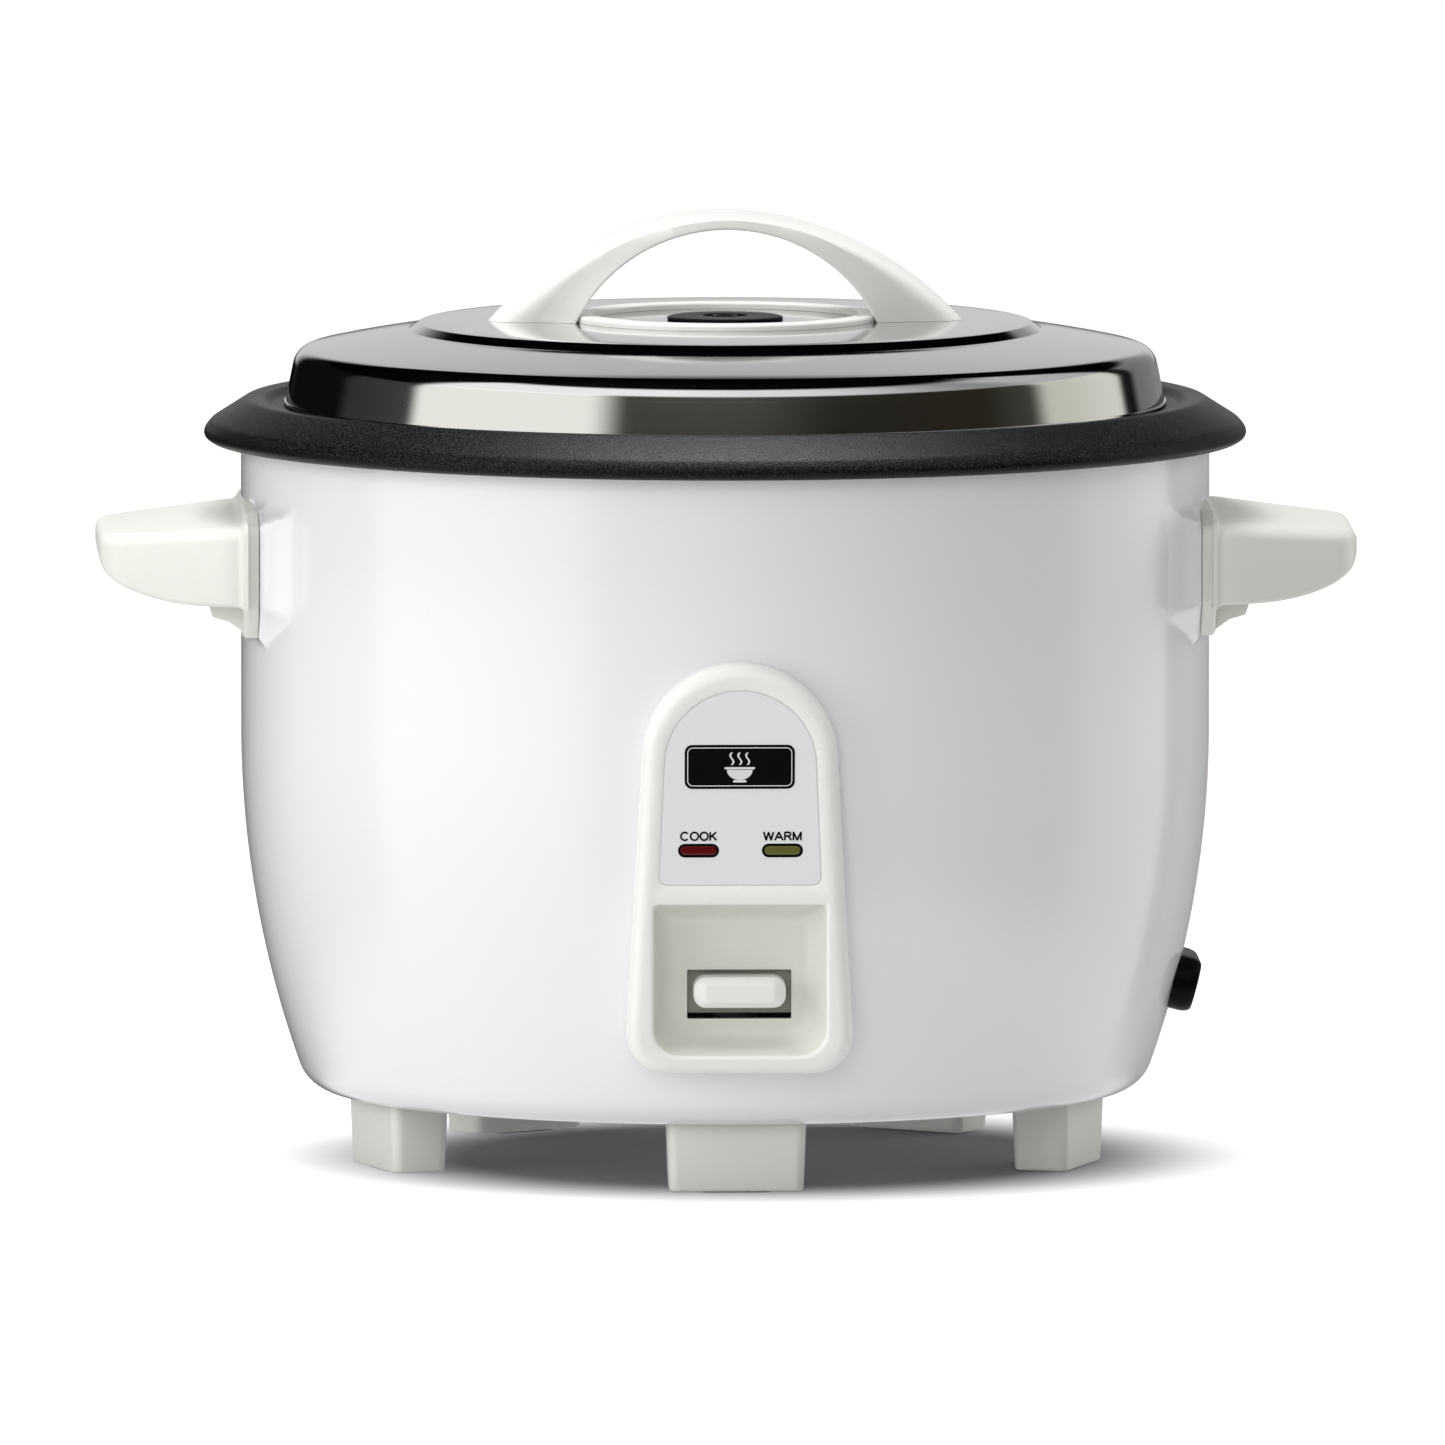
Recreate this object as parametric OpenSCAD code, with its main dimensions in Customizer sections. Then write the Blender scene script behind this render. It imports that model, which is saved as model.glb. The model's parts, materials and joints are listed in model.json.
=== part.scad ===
// Drum rice cooker: painted steel drum, lift-out pot with a flared lip, steel lid with an arched
// handle, and a press-down cook lever that lifts a magnet to the spring-loaded pot sensor.
// Millimetres. Origin on the drum's axis at the surface it stands on, +Z up, the control panel at -Y.

/* [Drum] */
// Outer radius of the drum's straight upper wall
shell_r = 167.2; // [167:0.1:168]
// Sheet thickness of the drum
shell_t = 1.0; // [0.8:0.1:1.2]
// Height of the drum's top edge above the floor
shell_top = 258.8; // [258.2:0.1:259]
// Height where the straight wall starts to draw in
belly_z = 150; // [146:1:156]
// Radius of the curve that draws the lower wall in
belly_r = 348.8; // [340:0.1:360]
// Radius of the bottom corner
corner_r = 14; // [13:0.5:15]
// Height of the drum's bottom edge above the floor
shell_bottom = 24; // [24:0.5:25]

/* [Pot] */
// Inner radius of the pot
pot_r = 145; // [144:0.1:145.2]
// Wall thickness of the pot
pot_t = 2.0; // [1.8:0.1:2]
// Height of the pot's underside above the floor
pot_floor = 88.3; // [88.3:0.1:90]
// Outermost radius of the flared lip
lip_r = 180; // [178:0.5:182]

/* [Lid] */
// Outer radius of the lid's band at the shoulder
lid_r = 149.3; // [149:0.1:150]
// Height of the lid's lower edge
lid_z = 261.4; // [261.4:0.1:262]
// Width of the lid handle from foot to foot
lid_handle_w = 164; // [156:1:166]
// Height of the handle's top above the floor
lid_handle_top = 327.4; // [324:0.1:332]

/* [Side handles] */
// Distance from the drum's axis to a handle's tip
handle_reach = 217; // [212:1:222]
// Width of a handle at its root
handle_w = 130; // [124:1:132]
// Height of the grip's top face at its root
handle_top = 223.6; // [222:0.1:224]

/* [Control panel] */
// Height of the panel
panel_h = 141.9; // [140:0.1:144]
// Radius of the panel's arched top
panel_arch_r = 33.7; // [33:0.1:34.5]
// Half the panel's width near its foot
panel_half_w = 38.9; // [38:0.1:40]
// Lean of the panel's face from upright, in degrees
panel_lean = 3; // [2.5:0.1:3.5]

/* [Base] */
// Radius that the feet reach
foot_r = 130; // [126:1:131]
// Thickness of a rubber pad
pad_t = 1.5; // [1:0.1:2]
// Radius of the heating plate
plate_r = 100; // [98:0.5:101]

/* [Hidden] */
$fn = 72;
eps = 0.05;
fit = 0.1;               // gap between parts that are only held by screws

// Drum profile centres
belly_x = shell_r - belly_r;
corner_z = shell_bottom + corner_r;
corner_x = belly_x + sqrt(pow(belly_r - corner_r, 2) - pow(belly_z - corner_z, 2));
corner_a = atan2(belly_z - corner_z, corner_x - belly_x);
top_roll = 2.5;
flange_in_r = 131.8;
mouth_r = 160;

// Heating plate and sensor stack, from the base plate up
base_top = shell_bottom + shell_t + 1.2;
plate_top = pot_floor - 0.3;
plate_under = plate_top - 14;
cup_r = 17;
cup_low = plate_top - 22;
ferrite_low = plate_top - 6;
magnet_h = 8;
magnet_low = ferrite_low - 7.8 - magnet_h;
frame_z = plate_top - 30.5;
rod_low = plate_top - 37.7;
standoffs = [[0, 85], [-73.6, -42.5], [73.6, -42.5]];
heater_pins = [[58, 22], [58, -22]];

// Inner liner
liner_r = pot_r + pot_t + 3;
liner_t = 1;
liner_floor = plate_top - 16;
liner_corner = 20;
liner_hole_r = plate_r + 6;

// Lever
pivot_y = -90;
pivot_z = 66;
lever_w = 14;
pin_r = 2;
strip_t = 2;
rod_gap = 0.3;

// Side handle: the flat platform pressed in the wall, and the flange that sits on it
platform_x = 162;
flange_x = platform_x + fit;
flange_t = 5.4;
handle_mid_z = 206;
handle_screw_y = 40;
grip_wall = 3.4;
grip_low = 196.4;
grip_round_z = 212;

// Control panel, in its own upright frame: face at y = 0, foot at z = 0
panel_y = -168;
panel_z = 44.1;
panel_corner = 14;
panel_edge = 3.2;
pocket_d = 12;
pocket_low = 7.1;
pocket_high = 58.65;
pocket_half = 29.3;
floor_low = 14.7;
floor_high = 49.8;
floor_half = 21.5;
slot_half = 17.85;
slot_low = 18;
slot_high = 35;
label_low = 66;
label_high = 132.8;
label_arch_r = 25.9;
label_half = 27.5;
lens_x = 14.35;
lens_z = 77.85;
lens_w = 13.2;
lens_h = 3.9;
window_half = 27;
window_z = [52, 134];
panel_screw_at = [[0, 148], [-25, 47.8], [25, 47.8]];

// Power inlet, in its own frame on the wall: outwards is +x
inlet_z = 61.8;
inlet_a = asin((belly_z - inlet_z) / belly_r);
inlet_x = belly_x + belly_r * cos(inlet_a);
inlet_h = 19;
inlet_w = 52;
inlet_proud = 6.4;
cavity_w = 24;
cavity_h = 15;
blade_y = 7;
blade_drop = 4;
inlet_screw_y = 20;

// Earth lug on the base plate
lug_at = [108, 32];

// Feet
foot_w = 48;
foot_in_r = 109;
foot_low = 0.4;
foot_count = 5;
foot_step = 360 / foot_count;
foot_top = shell_bottom + shell_t;
foot_screw_r = 119.5;

// Lid
lid_t = 0.8;
lid_shoulder = 7.3;
lid_shoulder_z = 274.4;
lid_rim_r = 151.8;
step_r = 109.2;
step_z = 286.9;
plateau_r = 104;
plateau_z = 289.9;
crown_z = 290.5;
vent_hole_r = 6;
lid_screw_x = 62;
ring_out_r = 52.6;
ring_in_r = 45.5;
ring_h = 2.2;

// Lip profile
ledge_z = lid_z - 0.3;
crest_r = 165;
crest_z = 263.7;
tip_z = 252.7;
lip_low = 248.9;

// ---------- helpers ----------

// Points on an arc round (cx, cy) from angle a0 to a1
function arc(cx, cy, r, a0, a1, n) =
    [for (i = [0:n]) let (a = a0 + (a1 - a0) * i / n) [cx + r * cos(a), cy + r * sin(a)]];

function reversed(list) = [for (i = [len(list) - 1:-1:0]) list[i]];

function unit(v) = v / norm(v);

// A smooth line through a list of points, n steps to a span
function smooth(pts, n) = concat(
    [for (i = [0:len(pts) - 2], k = [0:n - 1])
        let (
            t = k / n,
            a = pts[max(i - 1, 0)], b = pts[i], c = pts[i + 1], d = pts[min(i + 2, len(pts) - 1)]
        )
        0.5 * (2 * b + (c - a) * t + (2 * a - 5 * b + 4 * c - d) * t * t
            + (3 * b - a - 3 * c + d) * t * t * t)],
    [pts[len(pts) - 1]]
);

// A round tube along a line of points; side is a direction that the line never follows
module tube(path, r, sides, side) {
    n = len(path);
    rings = [for (i = [0:n - 1])
        let (
            t = unit(path[min(i + 1, n - 1)] - path[max(i - 1, 0)]),
            u = unit(cross(t, side)),
            v = cross(t, u)
        )
        for (k = [0:sides - 1]) path[i] + r * (cos(360 * k / sides) * u + sin(360 * k / sides) * v)];
    faces = concat(
        [[for (k = [0:sides - 1]) k]],
        [for (i = [0:n - 2], k = [0:sides - 1])
            [i * sides + k, (i + 1) * sides + k, (i + 1) * sides + (k + 1) % sides,
                i * sides + (k + 1) % sides]],
        [[for (k = [sides - 1:-1:0]) (n - 1) * sides + k]]
    );
    polyhedron(rings, faces, convexity = 4);
}

// Cylinders along X and Y
module rod_x(r, x0, x1) { translate([x0, 0, 0]) rotate([0, 90, 0]) cylinder(r = r, h = x1 - x0); }
module rod_y(r, y0, y1) { translate([0, y1, 0]) rotate([90, 0, 0]) cylinder(r = r, h = y1 - y0); }

// Extrudes an outline drawn in (x, z) along Y, and one drawn in (y, z) along X
module along_y(y0, y1) { translate([0, y1, 0]) rotate([90, 0, 0]) linear_extrude(y1 - y0) children(); }
module along_x(x0, x1) {
    translate([x0, 0, 0]) rotate([90, 0, 90]) linear_extrude(x1 - x0) children();
}

// A rectangle with round corners, centred
module round_rect(w, h, r) {
    polygon(concat(
        arc(w / 2 - r, h / 2 - r, r, 0, 90, 6), arc(r - w / 2, h / 2 - r, r, 90, 180, 6),
        arc(r - w / 2, r - h / 2, r, 180, 270, 6), arc(w / 2 - r, r - h / 2, r, 270, 360, 6)));
}

// A pill lying along x
module pill(w, h) {
    square([w - h, h], center = true);
    for (x = [-1, 1]) translate([x * (w - h) / 2, 0]) circle(d = h);
}

// ---------- drum ----------

// The wall's outline from the bottom flange to the top edge, moved outwards by o
function shell_line(o) = concat(
    [[flange_in_r, shell_bottom - o]],
    arc(corner_x, corner_z, corner_r + o, -90, -corner_a, 8),
    arc(belly_x, belly_z, belly_r + o, -corner_a, 0, 18),
    arc(shell_r - top_roll, shell_top - top_roll, top_roll + o, 0, 90, 5),
    [[mouth_r, shell_top + o]]
);

// Everything inside the drum's outer face, for fitting parts against it
module drum_space(o) {
    rotate_extrude() polygon(concat(shell_line(o), [[0, shell_top + o], [0, shell_bottom - o]]));
}

// The outline of a handle's seat in (y, z)
module handle_seat(half_w, half_end, low, high, end_low, end_high) {
    polygon([
        [-half_end, low], [half_end, low], [half_w, end_low], [half_w, end_high],
        [half_end, high], [-half_end, high], [-half_w, end_high], [-half_w, end_low]]);
}

// Both pressed platforms, as one block that stands out of the wall at each side, and one platform
// as a cut into the wall; o moves them out
module platform_block(o) {
    hull() {
        along_x(-platform_x - o, platform_x + o)
            handle_seat(67 + o, 50 + o, 183 - o, 229.5 + o, 196 - o, 225 + o);
        along_x(-140, 140) handle_seat(78 + o, 58 + o, 178 - o, 235 + o, 197 - o, 225.6 + o);
    }
}
module platform_cut(o) {
    hull() {
        along_x(platform_x + o, platform_x + o + 0.1)
            handle_seat(67 - o, 50 - o, 183 + o, 229.5 - o, 196 + o, 225 - o);
        along_x(174, 174.1) handle_seat(76 - o, 58 - o, 178 + o, 235 - o, 194 + o, 228 - o);
    }
}
// The drum as a solid, moved outwards by o, with its two platforms
module drum_form(o) {
    difference() {
        drum_space(o);
        for (m = [0, 1]) mirror([m, 0, 0]) platform_cut(o);
    }
    platform_block(o);
}

module outer_shell() {
    color([0.93, 0.93, 0.94]) difference() {
        drum_form(0);
        drum_form(-shell_t);
        translate([0, 0, shell_top - 10]) cylinder(r = mouth_r, h = 20);
        translate([0, 0, shell_bottom - 5]) cylinder(r = flange_in_r, h = 20);
        along_y(-180, -120)
            translate([-window_half, window_z[0]]) square([2 * window_half, window_z[1] - window_z[0]]);
        for (p = panel_screw_at) translate([p[0], 0, p[1]]) rod_y(1.8, -180, -120);
        for (y = [-1, 1]) translate([0, y * handle_screw_y, handle_mid_z]) rod_x(2.2, -180, 180);
        at_inlet() along_x(-8, 6) round_rect(cavity_w + 2.6, cavity_h + 2.4, 1.5);
        at_inlet() for (y = [-1, 1]) translate([0, y * inlet_screw_y, 0]) rod_x(1.6, -8, 6);
    }
}

module inner_liner() {
    r = liner_r;
    c = liner_corner;
    top = shell_top - shell_t;
    color([0.72, 0.73, 0.74]) rotate_extrude() polygon(concat(
        [[liner_hole_r, liner_floor + 4], [liner_hole_r, liner_floor]],
        arc(r + liner_t - c, liner_floor + c, c, -90, 0, 8),
        [[r + liner_t, top - liner_t], [163.4, top - liner_t], [163.4, top], [r, top]],
        arc(r + liner_t - c, liner_floor + c, c - liner_t, 0, -90, 8),
        [[liner_hole_r + 1, liner_floor + liner_t], [liner_hole_r + 1, liner_floor + 4]]
    ));
}

// ---------- base ----------

module base_plate() {
    color([0.66, 0.67, 0.68]) difference() {
        translate([0, 0, foot_top]) cylinder(r = 133.5, h = base_top - foot_top);
        for (a = [0:foot_step:359]) rotate(a) translate([0, -foot_screw_r, 0]) cylinder(r = 2.1, h = 40);
        for (p = standoffs) translate([p[0], p[1], 0]) cylinder(r = 2.3, h = 40);
        for (a = [20:20:340], r = [48, 66]) if (a < 70 || a > 110)
            rotate(a) translate([r, 0, 20]) linear_extrude(20) rotate(90) pill(13, 3.2);
        for (y = [-102, -78]) translate([0, y, 0]) cylinder(r = 1.6, h = 40);
        translate([lug_at[0], lug_at[1], 0]) cylinder(r = 1.6, h = 40);
    }
}

// A foot's footprint, drawn with its outer side towards -Y
module foot_print(inset) {
    w = foot_w / 2 - inset;
    out = -foot_r + inset;
    in = -foot_in_r - inset;
    polygon(concat(
        arc(w - 4, out + 4, 4, -90, 0, 5), arc(w - 4, in - 4, 4, 0, 90, 5),
        arc(4 - w, in - 4, 4, 90, 180, 5), arc(4 - w, out + 4, 4, 180, 270, 5)));
}

module foot(a) {
    color([0.91, 0.92, 0.9]) rotate(a) difference() {
        hull() {
            translate([0, 0, foot_top - 1]) linear_extrude(1 - eps) foot_print(0);
            translate([0, 0, foot_low]) linear_extrude(1) foot_print(1);
        }
        translate([0, -foot_screw_r, 0]) {
            cylinder(r = 2.3, h = 40);
            cylinder(r = 5, h = 16);
            linear_extrude(pad_t) round_rect(24.2, 15.2, 3.1);
        }
    }
}
module foot_front() { foot(0); }
module foot_right() { foot(foot_step); }
module foot_left() { foot(-foot_step); }
module foot_rear_right() { foot(2 * foot_step); }
module foot_rear_left() { foot(-2 * foot_step); }

module foot_pads() {
    color([0.25, 0.25, 0.26]) for (a = [0:foot_step:359]) rotate(a) difference() {
        translate([0, -foot_screw_r, 0]) linear_extrude(pad_t) round_rect(24, 15, 3);
        translate([0, -foot_screw_r, -1]) cylinder(r = 5.5, h = 4);
    }
}

module foot_screws() {
    color([0.7, 0.7, 0.72]) for (a = [0:foot_step:359]) rotate(a) translate([0, -foot_screw_r, 0]) {
        translate([0, 0, 13.4]) cylinder(r = 4, h = 2.6);
        translate([0, 0, 15]) cylinder(r = 2, h = 16);
    }
}

// ---------- side handles ----------

// The grip's plan, and its outline from the side with a curved underside
module grip_plan(inset) {
    w = handle_w / 2 - inset;
    tip = handle_reach - inset;
    r = 16 - inset;
    a = 20.7;
    polygon(concat(
        [[150, -w], [172, -w]], arc(tip - r, r - w + 17, r, -90 + a, 0, 8),
        arc(tip - r, w - 17 - r, r, 0, 90 - a, 8), [[172, w], [150, w]]));
}
module grip_side() {
    top_tip = handle_top - 4;
    polygon(concat(
        [[150, handle_top], [172, handle_top]],
        arc(handle_reach - 3.4, top_tip - 3.2, 3.2, 84, 0, 5),
        [for (i = [0:10]) let (a = 90 * i / 10)
            [180 + (handle_reach - 180) * cos(a), grip_round_z - (grip_round_z - grip_low) * sin(a)]],
        [[150, grip_low]]));
}
module gusset_side() {
    polygon([[150, 184], [168, 186], [172.4, 190], [178.3, 192], [180, grip_low + 1],
        [150, grip_low + 1]]);
}

module side_handle() {
    color([0.9, 0.91, 0.88]) difference() {
        union() {
            along_x(flange_x, flange_x + flange_t) handle_seat(64, 49, 184.5, 228, 197, 223.5);
            intersection() {
                translate([0, 0, 180]) linear_extrude(50) grip_plan(0);
                along_y(-80, 80) grip_side();
            }
            along_y(-48, 48) gusset_side();
        }
        intersection() {
            translate([0, 0, 180]) linear_extrude(handle_top - 4 - grip_wall - 180) grip_plan(grip_wall);
            translate([183, -80, 180]) cube([40, 160, 50]);
        }
        translate([140, -90, 170]) cube([flange_x - 140, 180, 70]);
        for (y = [-1, 1]) translate([0, y * handle_screw_y, handle_mid_z]) rod_x(1.7, 150, 179);
    }
}
module side_handle_right() { side_handle(); }
module side_handle_left() { mirror([1, 0, 0]) side_handle(); }

module side_handle_screws() {
    color([0.7, 0.7, 0.72]) for (m = [0, 1], y = [-1, 1]) mirror([m, 0, 0])
        translate([0, y * handle_screw_y, handle_mid_z]) {
            rod_x(4, 158.3, 160.9);
            rod_x(1.7, 160, 176);
        }
}

// ---------- control panel ----------

module at_panel() { translate([0, panel_y, panel_z]) rotate([panel_lean, 0, 0]) children(); }

// The panel's outline in (x, z), drawn in by inset
module panel_outline(inset) {
    r = panel_corner - inset;
    w = panel_half_w - inset;
    ar = panel_arch_r - inset;
    az = panel_h - panel_arch_r;
    polygon(concat(
        arc(w - r, inset + r, r, -90, 0, 8), arc(0, az, ar, 0, 180, 24),
        arc(r - w, inset + r, r, 180, 270, 8)));
}
module label_outline(inset) {
    w = label_half - inset;
    az = label_high - label_arch_r;
    polygon(concat(
        arc(w - 2, label_low + inset + 2, 2, -90, 0, 4), arc(0, az, label_arch_r - inset, 0, 180, 20),
        arc(2 - w, label_low + inset + 2, 2, 180, 270, 4)));
}
// The finger pocket's outline between its mouth, t = 0, and its floor, t = 1, grown by g
module pocket_outline(t, g) {
    half = pocket_half + (floor_half - pocket_half) * t + g;
    low = pocket_low + (floor_low - pocket_low) * t - g;
    high = pocket_high + (floor_high - pocket_high) * t + g;
    r = 9;
    polygon(concat(
        arc(half - r, low + r, r, -90, 0, 5), [[half, high], [-half, high]],
        arc(r - half, low + r, r, 180, 270, 5)));
}
module pocket(g, front, back) {
    hull() {
        along_y(front, front + 0.1) pocket_outline(0, g);
        along_y(back - 0.1, back) pocket_outline(1, g);
    }
}

module control_panel() {
    color([0.92, 0.93, 0.91]) difference() {
        at_panel() difference() {
            union() {
                difference() {
                    hull() {
                        along_y(panel_edge, 24) panel_outline(0);
                        along_y(0, 0.1) panel_outline(2.6);
                    }
                    along_y(3, 25) panel_outline(3);
                }
                pocket(2, 1, pocket_d + 2);
            }
            pocket(0, -0.1, pocket_d);
            along_y(-1, 0.5) label_outline(-0.15);
            along_y(10, 16)
                translate([-slot_half, slot_low]) square([2 * slot_half, slot_high - slot_low]);
            for (x = [-1, 1])
                translate([x * lens_x, 0, lens_z]) along_y(-1, 4) pill(lens_w + 0.2, lens_h + 0.2);
        }
        drum_space_cut();
        panel_bores();
    }
    color([0.92, 0.93, 0.91]) difference() {
        panel_bosses();
        drum_space(fit);
        panel_bores();
    }
}
// The drum's wall and flange zone, left open where the pocket passes through the window
module drum_space_cut() {
    difference() {
        drum_space(fit);
        along_y(-180, -120)
            translate([0.5 - window_half, window_z[0] + 0.5])
                square([2 * window_half - 1, window_z[1] - window_z[0] - 1]);
    }
}
module panel_bosses() {
    for (p = panel_screw_at) translate([p[0], 0, p[1]]) rod_y(3.4, panel_front(p[1]) + 2.5, -140);
}
module panel_bores() {
    for (p = panel_screw_at) translate([p[0], 0, p[1]]) rod_y(1.55, panel_front(p[1]) + 4, -139);
}
function panel_front(z) = panel_y - (z - panel_z) * tan(panel_lean);
// Distance from the axis to the drum's face at height z below the straight wall
function wall_r(z) = z >= belly_z ? shell_r : belly_x + sqrt(pow(belly_r, 2) - pow(belly_z - z, 2));

module panel_screws() {
    color([0.7, 0.7, 0.72]) for (p = panel_screw_at) translate([p[0], 0, p[1]]) {
        inner = -sqrt(pow(wall_r(p[1]) - shell_t, 2) - pow(p[0], 2)) + 1.4;
        rod_y(3, inner, inner + 2);
        rod_y(1.5, panel_front(p[1]) + 4.5, inner + 0.5);
    }
}

module label_plate() {
    color([0.93, 0.93, 0.95]) at_panel() difference() {
        along_y(0.05, 0.45) label_outline(0);
        for (x = [-1, 1])
            translate([x * lens_x, 0, lens_z]) along_y(-1, 1) pill(lens_w + 0.1, lens_h + 0.1);
    }
}

module lens(x) {
    at_panel() translate([x, 0, lens_z]) {
        along_y(-0.2, 3.2) pill(lens_w, lens_h);
        along_y(3.05, 4.5) pill(lens_w + 3, lens_h + 2.4);
    }
}
module cook_lens() { color([0.55, 0.04, 0.06]) lens(-lens_x); }
module warm_lens() { color([0.5, 0.52, 0.2]) lens(lens_x); }

module lamp(x) { at_panel() translate([x, 0, lens_z]) rod_y(3, 5, 12); }
module cook_lamp() { color([0.9, 0.6, 0.4]) lamp(-lens_x); }
module warm_lamp() { color([0.8, 0.8, 0.4]) lamp(lens_x); }

module lamp_holder() {
    color([0.85, 0.85, 0.82]) at_panel() {
        translate([0, 0, lens_z]) along_y(12, 14) round_rect(46, 11, 1.5);
        for (x = [-20.5, 20.5]) translate([x, 0, lens_z + 7]) rod_y(1.8, 3, 14);
        for (x = [-20.5, 20.5]) translate([x - 1.8, 12, lens_z + 2]) cube([3.6, 2, 5]);
    }
}

// ---------- cook lever ----------

// The lever's side outline in (y, z): the arm to the paddle, the crank, and the arm under the rod
module lever_strip() {
    low = rod_low - rod_gap - strip_t;
    arm = 69;
    polygon([
        [-151.5, arm], [-98.6, arm], [-84.6, low], [8, low], [8, low + strip_t],
        [-83.5, low + strip_t], [-97.5, arm + strip_t], [-151.5, arm + strip_t]]);
}
module switch_lever() {
    color([0.72, 0.73, 0.75]) difference() {
        union() {
            along_x(-lever_w / 2, lever_w / 2) lever_strip();
            for (x = [-7.5, 6]) translate([0, pivot_y, pivot_z]) {
                rod_x(4.4, x, x + 1.5);
                translate([x, -9, -1]) cube([1.5, 9, 5]);
            }
        }
        translate([0, pivot_y, pivot_z]) rod_x(pin_r + 0.06, -20, 20);
    }
}
module lever_pin() {
    color([0.78, 0.79, 0.8]) translate([0, pivot_y, pivot_z]) {
        rod_x(pin_r, -12, 12);
        for (x = [-13, 10.6]) rod_x(pin_r + 1.2, x, x + 2.4);
    }
}
module switch_bracket() {
    color([0.66, 0.67, 0.68]) difference() {
        union() {
            for (x = [-10.5, 9]) translate([x, -98, base_top]) cube([1.5, 16, 71 - base_top]);
            translate([-10.5, -106, base_top]) cube([21, 32, 1.5]);
            translate([0, pivot_y + 6.5, pivot_z - 1]) rod_x(1, -9.5, 9.5);
        }
        translate([0, pivot_y, pivot_z]) rod_x(pin_r + 0.02, -20, 20);
        for (y = [-102, -78]) translate([0, y, 20]) cylinder(r = 1.6, h = 20);
    }
}
module lever_spring() {
    turns = 6;
    steps = 16;
    r = 2.5;
    from = 18;
    span = 360 * turns - 108;
    coil = [for (i = [0:turns * steps]) let (a = from + span * i / (turns * steps))
        [-4.6 + 9.2 * i / (turns * steps), r * cos(a), r * sin(a)]];
    path = concat([[-4.6, 7.5, -15.5], [-4.6, 4, -4.2]], coil, [[4.6, 3, -r], [4.6, 6.5, -r]]);
    color([0.6, 0.6, 0.62]) translate([0, pivot_y, pivot_z]) tube(path, 0.32, 6, [1, 0, 0]);
}

module lever_paddle() {
    mid = 27.95;
    half_w = 15.8;
    half_h = 5.4;
    color([0.94, 0.94, 0.93]) at_panel() difference() {
        union() {
            hull() {
                translate([0, 0, mid]) along_y(5, 17) round_rect(2 * half_w, 2 * half_h, 3.5);
                translate([0, 0, mid]) along_y(2.6, 2.7) round_rect(2 * half_w - 4, 2 * half_h - 5, 2.5);
            }
            translate([-20, 15.4, 16]) cube([40, 1.8, 25.3]);
            translate([-9, 17, 22]) cube([18, 6, 10]);
        }
        at_panel_inverse() translate([-lever_w / 2 - 0.1, -160, 68.9]) cube([lever_w + 0.2, 20, 2.2]);
    }
}
module at_panel_inverse() { rotate([-panel_lean, 0, 0]) translate([0, -panel_y, -panel_z]) children(); }

module micro_switch() {
    color([0.15, 0.15, 0.16]) difference() {
        translate([-5, -74, base_top + 1.5]) cube([10, 18, 40.5 - base_top]);
        translate([0, -65, 37.5]) cylinder(r = 1.6, h = 10);
    }
}
module switch_plunger() {
    color([0.75, 0.2, 0.15]) translate([0, -65, 38])
        cylinder(r = 1.5, h = rod_low - rod_gap - strip_t - 38.3);
}

// ---------- heater ----------

module heating_plate() {
    r = plate_r;
    color([0.72, 0.73, 0.74]) difference() {
        union() {
            rotate_extrude() polygon([
                [cup_r + 2, plate_under], [r - 3, plate_under], [r, plate_under + 3], [r, plate_top - 2],
                [r - 2, plate_top], [cup_r + 4, plate_top], [cup_r + 2, plate_top - 2]]);
            rotate_extrude() translate([62, plate_under]) circle(r = 6.5);
            for (p = standoffs) translate([p[0], p[1], plate_under - 2]) cylinder(r = 8, h = 4);
        }
        for (p = standoffs) translate([p[0], p[1], plate_under - 3]) cylinder(r = 2, h = 8);
        for (p = heater_pins) translate([p[0], p[1], plate_under - 10]) cylinder(r = 3.1, h = 10);
    }
}
module plate_standoffs() {
    color([0.7, 0.71, 0.73]) for (p = standoffs) translate([p[0], p[1], base_top]) difference() {
        cylinder(r = 5, h = plate_under - 2 - base_top);
        translate([0, 0, -1]) cylinder(r = 2.2, h = 60);
    }
}
module plate_screws() {
    color([0.7, 0.7, 0.72]) for (p = standoffs) translate([p[0], p[1], foot_top]) {
        translate([0, 0, -2.5]) cylinder(r = 4, h = 2.5);
        translate([0, 0, -1]) cylinder(r = 1.95, h = plate_under + 3 - foot_top);
    }
}
module heater_terminals() {
    color([0.8, 0.78, 0.7]) for (p = heater_pins) translate([p[0], p[1], 0]) {
        translate([0, 0, plate_under - 13]) cylinder(r = 3, h = 10);
        translate([0, 0, plate_under - 24]) cylinder(r = 1.6, h = 12);
    }
}
module heat_reflector() {
    color([0.8, 0.81, 0.82]) translate([0, 0, plate_under - 16]) difference() {
        cylinder(r = 78, h = 0.8);
        translate([0, 0, -1]) cylinder(r = 31, h = 3);
        for (p = heater_pins) translate([p[0], p[1], -1]) cylinder(r = 5, h = 3);
        translate([-42, 0, -1]) cylinder(r = 10, h = 3);
        translate([-6, 66, -1]) cube([12, 20, 3]);
    }
}
module keep_warm_thermostat() {
    color([0.2, 0.2, 0.21]) translate([-42, 0, plate_under - 12]) {
        cylinder(r = 8, h = 8);
        translate([0, 0, 7.9]) cylinder(r = 9.5, h = 4.1);
        for (y = [-1, 1]) translate([-1.6, y * 5 - 0.4, -5]) cube([3.2, 0.8, 5.5]);
    }
}
module thermal_fuse() {
    color([0.9, 0.9, 0.85]) translate([0, 40, plate_under - 3.2]) rod_x(2.2, -12, 12);
}
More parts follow.
